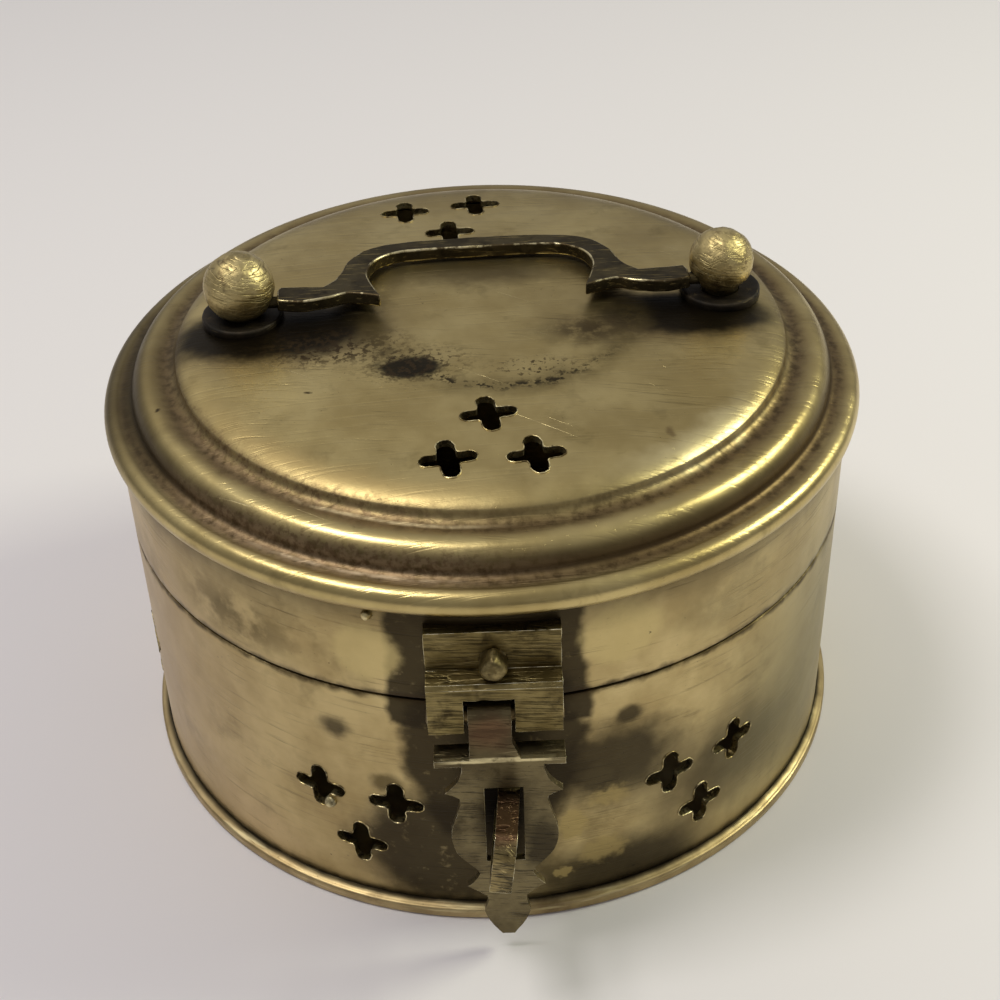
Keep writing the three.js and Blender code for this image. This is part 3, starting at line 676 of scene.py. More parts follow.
# parts of the lid that some marks keep to: middle, reach and softness
leftSide = ((-56, 2, 58), (34, 50, 24), 0.8)
nearFront = ((-20, -42, 58), (36, 24, 20), 0.7)
nearLeft = ((34, 26, 20), 0.7)
lidLook = {
    "mid": "mid", "light": "light", "tarnish": "olive",
    "rough": 0.28, "roughTarnish": 0.46, "cloudSize": 16, "tarnishAmount": 0.35, "ragged": 1.6, "swell": 1.3,
    "zones": [
        # dark patches round the posts and under the handle's arms, with a speckled fringe towards the front
        patch((-27, -3.6, 63.6), (23, 13, 9), "umber", 0.85, soft=0.9),
        patch((-28.5, -2.2, 63.6), (18.5, 9.0, 9), "black", 0.97, soft=0.4),
        patch((-20, -7.5, 63.6), (14, 6.5, 9), "brown", 0.92, soft=0.7, broken=(0.9, 0.46, 0.58)),
        patch((26, -2.6, 63.6), (20, 10, 9), "umber", 0.8, soft=0.9),
        patch((28.5, -1.2, 63.6), (16, 7, 9), "black", 0.97, soft=0.45),
        patch((15.5, -5.6, 63.6), (12, 5.4, 9), "brown", 0.85, soft=0.9, broken=(2.2, 0.25, 0.55)),
        # painted shadow of the handle's bow on the lid, along its inner edge
        patch((1, 11, 63.6), (18, 5.5, 9), "brown", 0.7, soft=0.8),
        # the arc that the handle's bow has left when folded to the front
        hoop(17.8, 4.2, "olive", 0.6, at=(3.1, -0.8), broken=(5, 0.3, 0.55)),
        hoop(17.6, 1.5, "black", 0.9, at=(3.1, -0.8), broken=(0.8, 0.48, 0.57),
             within=((2, -14, 63.6), (22, 12, 9), 0.6)),
        patch((-9.6, -13.4, 63.6), (5.8, 3.4, 9), "black", 0.97, soft=0.5, edge=(1.8, 1.9)),
        patch((-9, -12.6, 63.6), (11, 6.5, 9), "brown", 0.9, soft=0.8, broken=(0.8, 0.5, 0.6)),
        patch((7.5, -14.5, 63.6), (9, 4, 9), "brown", 0.9, soft=0.8, broken=(0.7, 0.54, 0.61)),
        # grime in the step and in the cove, partly a painted dark reflection on these slopes
        hoop(43.5, 3.0, "umber", 0.85, broken=(9, 0.05, 0.45), edge=(7, 0.6)),
        hoop(43.2, 2.2, "brown", 0.75, broken=(1.3, 0.4, 0.66), edge=(7, 0.5)),
        hoop(48.3, 1.3, "brown", 0.92, edge=(8, 0.3)),
        hoop(49.4, 2.0, "umber", 0.85, broken=(9, 0.05, 0.45), edge=(7, 0.3)),
        hoop(49.3, 1.3, "brown", 0.75, broken=(1.2, 0.4, 0.66), edge=(7, 0.3)),
        # painted dark reflection: the band, the cove and the bead darker on the left side
        hoop(48.6, 2.8, "black", 0.9, edge=(7, 0.3), within=leftSide),
        hoop(51.4, 2.6, "shade", 0.75, edge=(7, 0.3), within=leftSide),
        hoop(46.4, 5.5, "olive", 0.6, edge=(7, 0.3), within=leftSide),
        # mottled grime in the step and in the cove towards the front left
        hoop(42.9, 3.2, (140, 119, 88), 0.8, rough=0.5, broken=(1.1, 0.36, 0.62), edge=(6, 0.8),
             within=((-24, -34, 60), *nearLeft)),
        hoop(42.2, 2.4, "umber", 0.75, rough=0.5, broken=(0.8, 0.48, 0.64), edge=(6, 0.8),
             within=((-26, -32, 60), *nearLeft)),
        hoop(48.9, 2.6, (150, 128, 98), 0.8, rough=0.5, broken=(1.1, 0.32, 0.6), edge=(6, 0.5),
             within=nearFront),
        hoop(48.2, 1.6, "umber", 0.75, rough=0.5, broken=(0.8, 0.48, 0.64), edge=(6, 0.5), within=nearFront),
        # painted highlights: thin broken bright lines in the step and in the cove, and a broad bright band on
        # the roll at the right
        hoop(43.4, 0.44, (226, 206, 160), 0.75, edge=(5, 0.4), rough=0.34, broken=(2.4, 0.3, 0.62),
             within=((-13, -42, 60), (17, 14, 20), 0.6)),
        hoop(49.3, 0.4, (222, 200, 164), 0.75, edge=(5, 0.4), rough=0.34, broken=(2.4, 0.3, 0.62),
             within=((-17, -46, 57), (17, 14, 20), 0.6)),
        hoop(40.2, 3.2, "bright", 0.6, rough=0.38, within=((27, -29, 62), (17, 15, 20), 0.8)),
        # the roll rougher and a little darker at the front left, which dims its highlight, and small dark spots
        hoop(39.6, 3.6, (168, 146, 98), 0.75, rough=0.54, within=((-20, -34, 62), (34, 30, 20), 0.8)),
        patch((-43.1, -16.1, 62.0), (0.6, 0.55, 9), "brown", soft=0.8),
        patch((-22.3, -18.0, 63.6), (0.55, 0.5, 9), "brown", soft=0.8),
        patch((23.4, -28.9, 63.6), (1.1, 1.2, 9), "umber", 0.6, soft=0.8),
    ],
    "marks": [
        strokes(0.5, (0.5, 0.7), (26, 1, 10), "light", 0.25, -0.25, turn=(0, 0, 4)),
        strokes(0.45, (0.55, 0.72), (30, 1, 10), "olive", 0.35, -0.4, turn=(0, 0, -9), shift=0.02,
                patches=(14, 0.45, 0.65)),
        strokes(0.26, (0.68, 0.76), (70, 1, 20), "bright", 0.45, -0.35, turn=(0, 0, -34), shift=0.04,
                patches=(20, 0.5, 0.62)),
    ],
}
lidBrass = brass("lidBrass", lidLook)
insideBrass = brass("insideBrass", {
    "mid": (146, 128, 84), "light": (176, 157, 108), "tarnish": "olive",
    "rough": 0.4, "roughTarnish": 0.52, "cloudSize": 13, "tarnishSize": 6, "tarnishRange": (0.48, 0.7),
    "tarnishAmount": 0.7, "ragged": 1.4, "swell": 1.2,
    "zones": [
        level(39.2, 1.4, "brown", 0.7, broken=(5, 0.2, 0.5)),
        level(2.0, 3.0, "brown", 0.8, broken=(7, 0.1, 0.5)),
        hoop(42.4, 2.0, "brown", 0.6, broken=(6, 0.2, 0.55)),
    ],
    "marks": [
        strokes(0.5, (0.5, 0.7), (26, 26, 1), "light", 0.3, -0.3, patches=(12, 0.4, 0.6)),
    ],
})

lidTop = turnedPiece("lidTop", lidSection())
coat(lidTop, lidBrass, insideBrass)
modify(lidTop, "SOLIDIFY", material_offset=1, thickness=lid["sheet"] * mm, offset=-1)
lidBurrs = pierce(lidTop, lidPlaces, 5, onLid)
joinPieces(lidTop, lidBurrs)
finishPiece(lidTop, "lid", "lid_top")
print("trinket box: lid top done")

# body wall, lid band and base plate
wallLook = {
    "mid": (180, 159, 110), "light": (208, 188, 136), "tarnish": "olive",
    "rough": 0.36, "cloudSize": 12, "tarnishSize": 9, "tarnishRange": (0.5, 0.78),
    "tarnishAmount": 0.6, "ragged": 1.0, "raggedSize": 2.4,
    "zones": [
        patch((-48, -16, 26), (26, 50, 60), (188, 164, 128), 0.6, soft=0.9, rough=0.36),
        # the dark part round the clasp, with ragged borders: tarnish, and painted shade on the wall under the
        # leaf and behind the hasp
        slab((-0.7, -50, 46), (12.9, 9, 12), "shade", 0.93, soft=0.1, edge=(7, 2.2), broken=(1.6, 0.0, 0.42)),
        patch((-0.4, -50, 31), (12.6, 9, 20), "shade", 0.93, soft=0.2, edge=(5, 3), broken=(1.6, 0.0, 0.42)),
        patch((-6, -50, 12), (17, 14, 14), "shade", 0.93, soft=0.45, edge=(4, 3), broken=(1.6, 0.0, 0.42)),
        patch((14, -48, 25.5), (15, 12, 9.5), "shade", 0.9, soft=0.6, edge=(4, 3)),
        patch((32, -40, 17), (25, 20, 13), "shade", 0.76, soft=0.8, edge=(4, 3)),
        patch((17, -48, 4), (18, 14, 9.5), "shade", 0.9, soft=0.6),
        patch((17.1, -48, 33.4), (2.6, 9, 2.2), "shade", 0.85, soft=0.7),
        # painted shadow on the wall seen through the hasp's slot
        patch((0.7, -50, 24), (4.5, 9, 11), "black", 0.95, soft=0.5),
        # places rubbed clean between them
        patch((-15.6, -50, 46.0), (5.2, 9, 5.4), "light", 0.7, soft=0.35, rough=0.36, edge=(1.6, 0.9)),
        patch((15.6, -48, 47.6), (6.2, 9, 5.8), "light", 0.7, soft=0.35, rough=0.36, edge=(1.6, 0.9)),
        patch((9.6, -50, 15.6), (2.7, 9, 3.0), "mid", 0.85, soft=0.5, rough=0.4, edge=(1.4, 2)),
        patch((14.6, -49, 19.5), (3.6, 9, 2.4), "mid", 0.7, soft=0.7, rough=0.4, edge=(1.4, 2)),
        patch((13.8, -49, 9.6), (4.6, 9, 3.2), "mid", 0.75, soft=0.6, rough=0.4, edge=(1.6, 2)),
        patch((8.2, -50, 6.6), (1.7, 9, 1.2), "mid", 0.85, soft=0.5, rough=0.4, edge=(0.9, 1.1)),
        # darker patches
        patch((-20.5, -47, 31.9), (3.0, 9, 2.6), "shade", 0.8, soft=0.8),
        patch((-14.5, -49, 23.5), (3.0, 9, 2.4), "olive", 0.85, soft=0.6),
        patch((-31, -38, 45), (15, 16, 7), "olive", 0.75, soft=0.9, broken=(4, 0.3, 0.6)),
        # painted shade: the right side of the wall and of the band darker
        patch((46, -26, 22), (30, 36, 46), (128, 120, 84), 0.7, soft=0.9, rough=0.42),
        patch((28, -42, 47), (12, 12, 8), (122, 110, 76), 0.55, soft=0.9, rough=0.42, broken=(6, 0.2, 0.6)),
        # a paler patch low on the left
        patch((-33.5, -38.5, 6.5), (13, 12, 8), (214, 190, 144), 0.55, soft=0.9, rough=0.4),
        # grime along the seam and along the foot, and painted shade on the band under the lid's rim
        level(39.2, 1.1, "brown", 0.85, broken=(5, 0.2, 0.5)),
        level(56.5, 9.5, "shade", 0.9, broken=(8, 0.05, 0.48)),
        level(1.4, 2.6, "black", 0.97, broken=(9, 0.05, 0.4)),
    ],
    "marks": [
        strokes(0.4, (0.5, 0.7), (24, 24, 1), "light", 0.3, -0.4, patches=(16, 0.4, 0.62)),
        strokes(0.45, (0.55, 0.72), (30, 30, 1), "olive", 0.45, -0.5, turn=(0, 2, 0), shift=0.03,
                patches=(12, 0.42, 0.62)),
    ],
}
wallBrass = brass("wallBrass", wallLook)


wallInside = wallRadius - box["wallThickness"]


def ringSection(outside, inside, low, high, rows, worn):
    # a standing ring of sheet with worn corners
    outer = [(outside, low + worn + (high - low - 2 * worn) * i / rows) for i in range(rows + 1)]
    inner = [(inside, z) for radius, z in reversed(outer)]
    nick = worn * 0.3
    top = [(outside - nick, high - nick), (outside - worn, high)]
    top += [(inside + worn, high), (inside + nick, high - nick)]
    foot = [(inside + nick, low + nick), (inside + worn, low)]
    foot += [(outside - worn, low), (outside - nick, low + nick)]
    return outer + top + inner + foot + outer[:1]


def dressInside(ring):
    # the inner faces of a ring take the inside's finish
    coat(ring, insideBrass)
    for face in ring.data.polygons:
        if math.hypot(face.center.x, face.center.y) < (wallInside + 0.3) * mm:
            face.material_index = 1


def onWall(spot):
    across = math.hypot(spot.x, spot.y)
    share = (wallRadius + 0.02) * mm / across
    return Vector((spot.x * share, spot.y * share, spot.z))


bodyTop = seam - box["seamGap"] / 2
bandBottom = seam + box["seamGap"] / 2
wallSection = ringSection(wallRadius, wallInside, box["baseThickness"], bodyTop, 26, box["worn"])
bodyWall = turnedPiece("bodyWall", wallSection)
coat(bodyWall, wallBrass)
dressInside(bodyWall)
wallBurrs = pierce(bodyWall, wallPlaces, 4, onWall)

# drops of solder and brass left on the wall
drops = {
    "stretch": (1.0, 0.7, 1.15),
    "proud": 0.1,
    "uneven": (0.9, 0.25),
    "solder": (-25.7, 17.6, 0.8, "grey"),
    "brass": (-16.9, 52.2, 0.7, "mid"),
}


def wallDrop(name, azimuth, height, radius, colour):
    bpy.ops.mesh.primitive_ico_sphere_add(subdivisions=4, radius=radius * mm, location=(0, 0, 0))
    drop = nameNew(name)
    bpy.ops.transform.resize(value=drops["stretch"])
    stand(drop, turnBy(azimuth, "Z") @ moveTo(0, -wallRadius - drops["proud"], height))
    unevenness(drop, *drops["uneven"])
    coat(drop, brass(name + "Finish", {
        "mid": colour, "light": "bright", "tarnish": "olive",
        "rough": 0.42, "roughTarnish": 0.55, "cloudSize": 1.5, "tarnishSize": 1.0,
    }))
    return drop


solderDrop = wallDrop("solderDrop", *drops["solder"])
joinPieces(bodyWall, wallBurrs + [solderDrop])
finishPiece(bodyWall, "box", "body_wall")

bandSection = ringSection(wallRadius, wallInside, bandBottom, box["bandTop"], 12, box["worn"])
lidBand = turnedPiece("lidBand", bandSection)
coat(lidBand, wallBrass)
dressInside(lidBand)
brassDrop = wallDrop("brassDrop", *drops["brass"])
joinPieces(lidBand, [brassDrop])
finishPiece(lidBand, "lid", "lid_band")

foot = {
    "radius": 52.35,
    "worn": 0.45,
    "rows": [0, 10, 20, 30, 40, 47],
    "fillet": [(51.5, 0.12), (51.05, 0.5), (50.6, 0.1)],
    "rowsAbove": [49.5, 45, 40, 30, 20, 10, 0],
}
footBrass = brass("footBrass", {
    "mid": (160, 140, 100), "light": (188, 168, 124), "tarnish": "umber",
    "rough": 0.38, "cloudSize": 8, "tarnishAmount": 0.5,
    "zones": [hoop(51.0, 0.9, "black", 0.97, edge=(4, 0.3))],
    "marks": [strokes(0.4, (0.52, 0.7), (20, 20, 1), "bright", 0.4, -0.4)],
})
rounded, footTop = foot["worn"], box["baseThickness"]
footSection = [(radius, 0) for radius in foot["rows"]]
footSection += arcLine(foot["radius"] - rounded, rounded, rounded, -90, 0, 5)
footSection += arcLine(foot["radius"] - rounded, footTop - rounded, rounded, 0, 90, 5)
footSection += [(radius, footTop + rise) for radius, rise in foot["fillet"]]
footSection += [(radius, footTop) for radius in foot["rowsAbove"]]
basePlate = turnedPiece("basePlate", footSection)
coat(basePlate, footBrass)
finishPiece(basePlate, "box", "base_plate")
print("trinket box: wall, band and base done")

# ball posts and collars
posts = {
    "spacing": 66.6,
    "middle": (0.5, 3.3),
    "turn": 2.3,
    "ballHeight": 5.1,
    "left": 4.9,
    "right": 4.5,
    "neck": 2.6,
    "shank": 1.6,
    "facets": 90,
    "facetDepth": 0.028,
    "facetTurn": 2.39996,  # the golden angle, which spreads them evenly
    "facetSpread": 0.25,
    "facetRange": (0.35, 1.0),
    "facing": 0.6,
    "smooth": 0.35,
    "boreDrop": 2.2,
    "boreOffset": 1.0,
    "bore": 1.0,
    "boreStart": 0.8,
    "peen": [(0, -2.2), (2.4, -2.2), (2.75, -1.9), (2.7, -1.45)],
    "peenTop": -1.4,
    "steps": 72,
    "shoulder": 0.4,
}
collar = {
    "outside": 5.6,
    "height": 1.1,
    "rounding": 0.4,
    "underside": [(2.7, -0.55), (5.45, -0.55), (5.6, -0.3)],
    "dish": [(4.3, 1.05), (3.6, 0.85), (2.7, 0.75)],
    "uneven": (2.2, 0.16),
    "steps": 96,
}
postFoot = 63.385


def postPlace(side):
    middle = moveTo(*posts["middle"], postFoot) @ turnBy(posts["turn"], "Z")
    return middle @ moveTo(side * posts["spacing"] / 2, 0, 0)


ballBrass = brass("ballBrass", {
    "mid": (178, 160, 110), "light": (210, 192, 138), "tarnish": "umber",
    "rough": 0.36, "roughTarnish": 0.48, "cloudSize": 4, "tarnishSize": 2.4, "tarnishAmount": 0.75,
    "ragged": 0.5, "swell": 1.4, "swellSize": 2.2,
    "zones": [level(64.0, 1.8, "black", 0.9)],
    "marks": [
        strokes(0.24, (0.5, 0.68), (14, 14, 1), "olive", 0.5, -0.8, turn=(0, 12, 0)),
        strokes(0.2, (0.58, 0.7), (20, 20, 1), "brown", 0.6, -0.9, turn=(0, -28, 0), shift=0.02,
                patches=(3, 0.45, 0.6)),
    ],
})
blackPatina = brass("blackPatina", {
    "mid": "black", "light": (52, 43, 30), "tarnish": (20, 16, 12), "pit": (12, 10, 8),
    "rough": 0.5, "roughTarnish": 0.7, "cloudSize": 3, "tarnishSize": 2, "ragged": 0.5, "metallic": 0.7,
    "marks": [strokes(0.3, (0.6, 0.7), (9, 9, 1), "olive", 0.5, -0.4)],
})


def ballPost(name, side, radius):
    middle, neck, shank, shoulder = (posts[key] for key in ("ballHeight", "neck", "shank", "shoulder"))
    neckTop = middle - math.sqrt(radius**2 - neck**2)
    start = math.degrees(math.asin(neck / radius)) - 90
    section = posts["peen"] + [(shank, posts["peenTop"]), (shank, shoulder), (neck, shoulder), (neck, neckTop)]
    section += arcLine(0, middle, radius, start, 90, 34)[1:-1] + [(0, middle + radius)]
    post = turnedPiece(name, section, posts["steps"])
    centre = Vector((0, 0, middle)) * mm
    flats = []
    spread = posts["facetSpread"]
    for i in range(posts["facets"]):  # hammered flats
        lift = 1 - 2 * (i + 0.5) / posts["facets"]
        turn = i * posts["facetTurn"] + random.uniform(-spread, spread)
        across = math.sqrt(1 - lift * lift)
        direction = Vector((across * math.cos(turn), across * math.sin(turn), lift))
        depth = posts["facetDepth"] * random.uniform(*posts["facetRange"])
        flats.append((direction, radius * mm * (1 - depth)))
    for vertex in post.data.vertices:
        if vertex.co.z > neckTop * mm + 0.2 * mm:
            ray = vertex.co - centre
            length = ray.length
            for direction, away in flats:
                facing = ray.normalized().dot(direction)
                if facing > posts["facing"]:
                    length = min(length, away / facing)
            vertex.co = centre + ray.normalized() * length
    pick(post)
    setMode("EDIT")
    selectMesh()
    bpy.ops.mesh.vertices_smooth(factor=posts["smooth"], repeat=1)
    setMode("OBJECT")
    coat(post, ballBrass)
    near, far = sorted((-side * posts["boreStart"], -side * (radius + 1)))
    bore = rodPiece("bore", posts["bore"], near, far, -posts["boreOffset"], middle - posts["boreDrop"], 32)
    coat(bore, blackPatina)
    carve(post, bore)
    stand(post, postPlace(side))
    finishPiece(post, "lid", name.replace("Post", "_post"), angle=50)


def collarRing(name, side):
    rounded = collar["rounding"]
    arc = arcLine(collar["outside"] - rounded, collar["height"] - rounded, rounded, 0, 90, 5)
    section = collar["underside"] + arc + collar["dish"] + collar["underside"][:1]
    ring = turnedPiece(name, section, collar["steps"])
    unevenness(ring, *collar["uneven"])
    coat(ring, blackPatina)
    stand(ring, postPlace(side))
    finishPiece(ring, "lid", name.replace("Collar", "_collar"))


ballPost("leftPost", -1, posts["left"])
ballPost("rightPost", 1, posts["right"])
collarRing("leftCollar", -1)
collarRing("rightCollar", 1)
print("trinket box: posts done")

# handle
handle = {
    "thickness": 1.8,
    "drop": 2.2,
    "offset": 1.0,
    "droop": 3.5,
    "ballClearance": 0.75,
    "armHalf": 2.25,
    "endShares": (0.8, 0.3, -0.9),  # heights of the arm's end, in parts of its half width
    "pivot": 0.8,
    "pivotLength": 2.6,
    "worn": 0.26,
    "rear": [(0, 14.8), (9, 14.4), (13.5, 13.6), (16.6, 11.8), (18.6, 8.8), (19.5, 5.6), (20.4, 3.2),
             (22, 1.4)],
    "front": [(25, -2.9), (21.2, -2.1), (18.4, -1.0), (14.1, -2.5)],
    "inside": [(14.1, -2.5), (15.8, 4.0), (14.9, 8.4), (11.9, 10.9), (7.3, 11.5), (0, 11.5)],
}
handleBronze = brass("handleBronze", {
    "mid": (58, 51, 36), "light": (82, 73, 51), "tarnish": (36, 31, 22), "pit": (14, 12, 9),
    "rough": 0.5, "roughTarnish": 0.6, "cloudSize": 5, "tarnishSize": 3, "tarnishAmount": 0.8, "ragged": 0.8,
    "swell": 1.2, "swellSize": 4,
    "marks": [strokes(0.35, (0.56, 0.7), (12, 1, 1), "mid", 0.4, -0.4)],
})
handleEdge = brass("handleEdge", {
    "mid": (186, 172, 128), "light": (232, 220, 178), "tarnish": "brown",
    "rough": 0.3, "cloudSize": 4, "tarnishSize": 2.6, "tarnishRange": (0.42, 0.56), "tarnishAmount": 0.95,
    "ragged": 0.6,
})


def ballFace(radius):
    return math.sqrt(radius**2 - handle["drop"] ** 2 - handle["offset"] ** 2)


def handleHalf(armEnd):
    half = handle["armHalf"]
    rear = smoothLine(handle["rear"], 36)
    front = smoothLine([(armEnd - 0.6, -half)] + handle["front"], 24)
    inside = smoothLine(handle["inside"], 36)
    top, middle, foot = (half * share for share in handle["endShares"])
    end = [(armEnd - handle["ballClearance"] / 2, top), (armEnd, middle), (armEnd, foot)]
    return rear + end + front + inside[1:]


armEnds = [posts["spacing"] / 2 - ballFace(posts[side]) - handle["ballClearance"] for side in ("left", "right")]
leftHalf = [(-x, y) for x, y in handleHalf(armEnds[0])]
rightHalf = handleHalf(armEnds[1])
bail = outlinePiece("bail", rightHalf + leftHalf[::-1][1:-1], handle["thickness"])
stand(bail, moveTo(0, handle["offset"], -handle["thickness"] / 2))
coat(bail, handleBronze, handleEdge)
roundEdges(bail, handle["worn"], 3, 50, 1)
unevenness(bail, 3.0, 0.22)
reachIn = handle["pivotLength"] + handle["ballClearance"]
pivots = [
    rodPiece("pivot", handle["pivot"], -armEnds[0] - reachIn, -armEnds[0] + 2, 0, 0, 32),
    rodPiece("pivot", handle["pivot"], armEnds[1] - 2, armEnds[1] + reachIn, 0, 0, 32),
]
for pivot in pivots:
    coat(pivot, handleBronze)
joinPieces(bail, pivots)
handleAxis = postFoot + posts["ballHeight"] - handle["drop"]
onAxis = moveTo(*posts["middle"], handleAxis) @ turnBy(posts["turn"], "Z") @ moveTo(0, -handle["offset"], 0)
stand(bail, onAxis @ turnBy(-handle["droop"], "X"))
finishPiece(bail, "handle", "handle", flats=True)
print("trinket box: handle done")

# hasp leaf, riveted to the lid band
leaf = {
    "half": 8.2,
    "thickness": 1.3,
    "top": 51.7,
    "crest": 45.7,
    "crestSlope": 0.15,
    "fold": 3.0,
    "rounding": 0.5,
    "back": -49.5,
    "tabWidth": 5.2,
    "tabMiddle": -0.7,
    "tabGap": 0.5,
    "notchTop": 2.2,
    "cutsAcross": [i * 0.8 for i in range(-10, 11)],
    "cutsUp": [47.0, 48.5, 50.0, 51.0, 44.5, 42.0, 40.5],
    "worn": 0.3,
    "uneven": (1.8, 0.24),
}
leafBrass = brass("leafBrass", {
    "mid": (112, 98, 60), "light": (146, 131, 86), "tarnish": (66, 55, 34),
    "rough": 0.36, "cloudSize": 5, "tarnishSize": 3.5, "tarnishAmount": 0.8, "ragged": 0.6,
    "swell": 0.9, "swellSize": 5,
    "marks": [
        strokes(0.2, (0.54, 0.66), (34, 4, 1), (178, 160, 112), 0.62, -0.7, patches=(3.4, 0.3, 0.6)),
        strokes(0.22, (0.5, 0.64), (26, 4, 1), "black", 0.66, -0.8, turn=(0, 3, 0), shift=0.02,
                patches=(4, 0.2, 0.6)),
    ],
})
wornEdge = brass("wornEdge", {
    "mid": (228, 214, 166), "light": (255, 250, 222), "tarnish": "umber",
    "rough": 0.26, "cloudSize": 1.6, "tarnishSize": 1.3, "tarnishRange": (0.54, 0.66),
    "tarnishAmount": 0.8, "ragged": 0.4, "swell": 0.4,
})


def wallCore():
    bpy.ops.mesh.primitive_cylinder_add(
        vertices=256, radius=(wallRadius + 0.05) * mm, depth=80 * mm, location=(0, 0, 40 * mm)
    )
    core = nameNew("wallCore")
    settle()
    return core


leafFace = -(wallRadius + leaf["thickness"])
foldFront = leafFace - leaf["fold"]
foldBottom = pinZ - barrelRadius
shelf = bandBottom + leaf["rounding"]
leafOutline = [
    (leaf["back"], leaf["top"]),
    (leafFace, leaf["top"]),
    (leafFace, leaf["crest"] + leaf["crestSlope"]),
    (foldFront + leaf["rounding"], leaf["crest"]),
    (foldFront, leaf["crest"] - leaf["rounding"]),
    (foldFront, foldBottom + leaf["rounding"]),
    (foldFront + leaf["rounding"], foldBottom),
]
leafOutline += arcLine(pinY, pinZ, barrelRadius, 270, 360, 8)
leafOutline += [(pinY + barrelRadius, shelf), (leaf["back"], shelf)]
haspLeaf = sidewaysPiece("haspLeaf", leafOutline, -leaf["half"], leaf["half"])
coat(haspLeaf, leafBrass, wornEdge)
notchHalf = leaf["tabWidth"] / 2 + leaf["tabGap"]
notch = blockPiece(
    "notch",
    (leaf["tabMiddle"] - notchHalf, foldFront - 1, 20),
    (leaf["tabMiddle"] + notchHalf, leaf["back"] + 1, leaf["crest"] - leaf["notchTop"]),
)
carve(haspLeaf, wallCore())
carve(haspLeaf, notch)
carve(haspLeaf, rodPiece("bore", box["pinRadius"] + box["pinFit"], -20, 20, pinY, pinZ))
subdivideAlong(haspLeaf, leaf["cutsAcross"], "x")
subdivideAlong(haspLeaf, leaf["cutsUp"], "z")
roundEdges(haspLeaf, leaf["worn"], 2, 40, 1)
unevenness(haspLeaf, *leaf["uneven"])
finishPiece(haspLeaf, "lid", "hasp_leaf", flats=True)

# hasp, hanging from the leaf's pin and over the staple
hasp = {
    "sheet": 1.0,
    "front": -57.2,
    "middle": 0.7,
    "shoulder": 35.4,  # top of the ears
    "earHalf": 8.0,
    "earShift": -0.35,
    "earDepth": 3.0,
    "shoulderHalf": 5.0,
    "horns": [(5.0, 6.0), (5.7, 8.0), (7.3, 9.8)],
    "belly": [(7.3, 9.8), (5.4, 10.9), (5.9, 13.6), (6.7, 17.0), (6.3, 20.2), (4.8, 22.6), (3.4, 24.3),
              (3.9, 25.8), (5.0, 27.1)],
    "tip": [(5.0, 27.1), (3.6, 28.1), (2.5, 29.2), (2.6, 30.8), (3.0, 32.0), (2.2, 34.4), (0.8, 36.6)],
    "pitch": 1.0,
    "slotHalf": 2.45,
    "slotTop": 30.6,
    "slotBottom": 17.3,
    "flare": 1.0,
    "flareRise": 1.8,
    "strapFront": 0.9,  # how far under the pin the strap meets the barrel
    "strapRear": 1.2,
    "cutDepth": 8,
    "worn": 0.28,
    "uneven": (1.6, 0.18),
}
haspBrass = brass("haspBrass", {
    "mid": (98, 87, 62), "light": (128, 116, 84), "tarnish": (60, 51, 35),
    "rough": 0.38, "roughTarnish": 0.52, "cloudSize": 6, "tarnishSize": 4, "tarnishAmount": 0.7, "ragged": 0.7,
    "swell": 0.9, "swellSize": 5,
    "zones": [
        patch((-0.7, -54.5, 38.6), (5, 6, 3.2), "red", 0.7, soft=0.7, rough=0.34),
        # painted highlight along the top edge of the ears
        slab((0.35, -57.4, 35.3), (8.4, 1.0, 0.45), "bright", 0.75, soft=0.5, rough=0.28,
             broken=(1.6, 0.25, 0.5), edge=(2, 0.2)),
        # dark patches round the slot
        patch((0.7, -57, 24.5), (4.6, 6, 9.5), (46, 39, 27), 0.6, soft=0.5),
        patch((5.4, -57, 20), (3.2, 6, 7.5), (52, 45, 33), 0.8, soft=0.7, edge=(2, 1.2)),
    ],
    "marks": [
        strokes(0.22, (0.54, 0.68), (24, 4, 1), (160, 146, 108), 0.5, -0.6, turn=(0, -2, 0),
                patches=(2.6, 0.42, 0.6)),
        strokes(0.24, (0.52, 0.66), (20, 4, 1), (40, 33, 22), 0.7, -0.6, turn=(0, 6, 0), shift=0.02,
                patches=(3, 0.35, 0.6)),
    ],
})


def evenLine(points, pitch):
    # a curve through the points, in steps of about one length
    dense = smoothLine(points, 200)
    lengths = lengthsAlong(dense)
    steps = max(2, round(lengths[-1] / pitch))
    line, at = [], 0
    for i in range(steps + 1):
        while at < len(dense) - 1 and lengths[at] < lengths[-1] * i / steps:
            at += 1
        line.append(dense[at])
    return line


middle, front, shoulder, thick, flare = (
    hasp[key] for key in ("middle", "front", "shoulder", "sheet", "flare")
)
halves = []
for part in ("horns", "belly", "tip"):
    halves += evenLine(hasp[part], hasp["pitch"])[:-1]
halves.append(hasp["tip"][-1])
haspRight = [(middle + half, pinZ - down) for half, down in halves]
haspLeft = [(middle - half, pinZ - down) for half, down in halves]
topRight = (middle + hasp["shoulderHalf"], shoulder)
topLeft = (middle - hasp["shoulderHalf"], shoulder)
haspPlate = outlinePiece("haspPlate", [topLeft, topRight] + haspRight + haspLeft[::-1], thick)
stand(haspPlate, moveTo(0, front + thick, 0) @ turnBy(90, "X"))
coat(haspPlate, haspBrass, wornEdge)
earMiddle, earHalf = middle + hasp["earShift"], hasp["earHalf"]
ears = blockPiece(
    "ears",
    (earMiddle - earHalf, front, shoulder - thick),
    (earMiddle + earHalf, front + hasp["earDepth"], shoulder),
)
tabLeft = leaf["tabMiddle"] - leaf["tabWidth"] / 2
tabRight = leaf["tabMiddle"] + leaf["tabWidth"] / 2
barrel = rodPiece("barrel", barrelRadius, tabLeft, tabRight, pinY, pinZ, 64)
barrelFront = pinY - barrelRadius
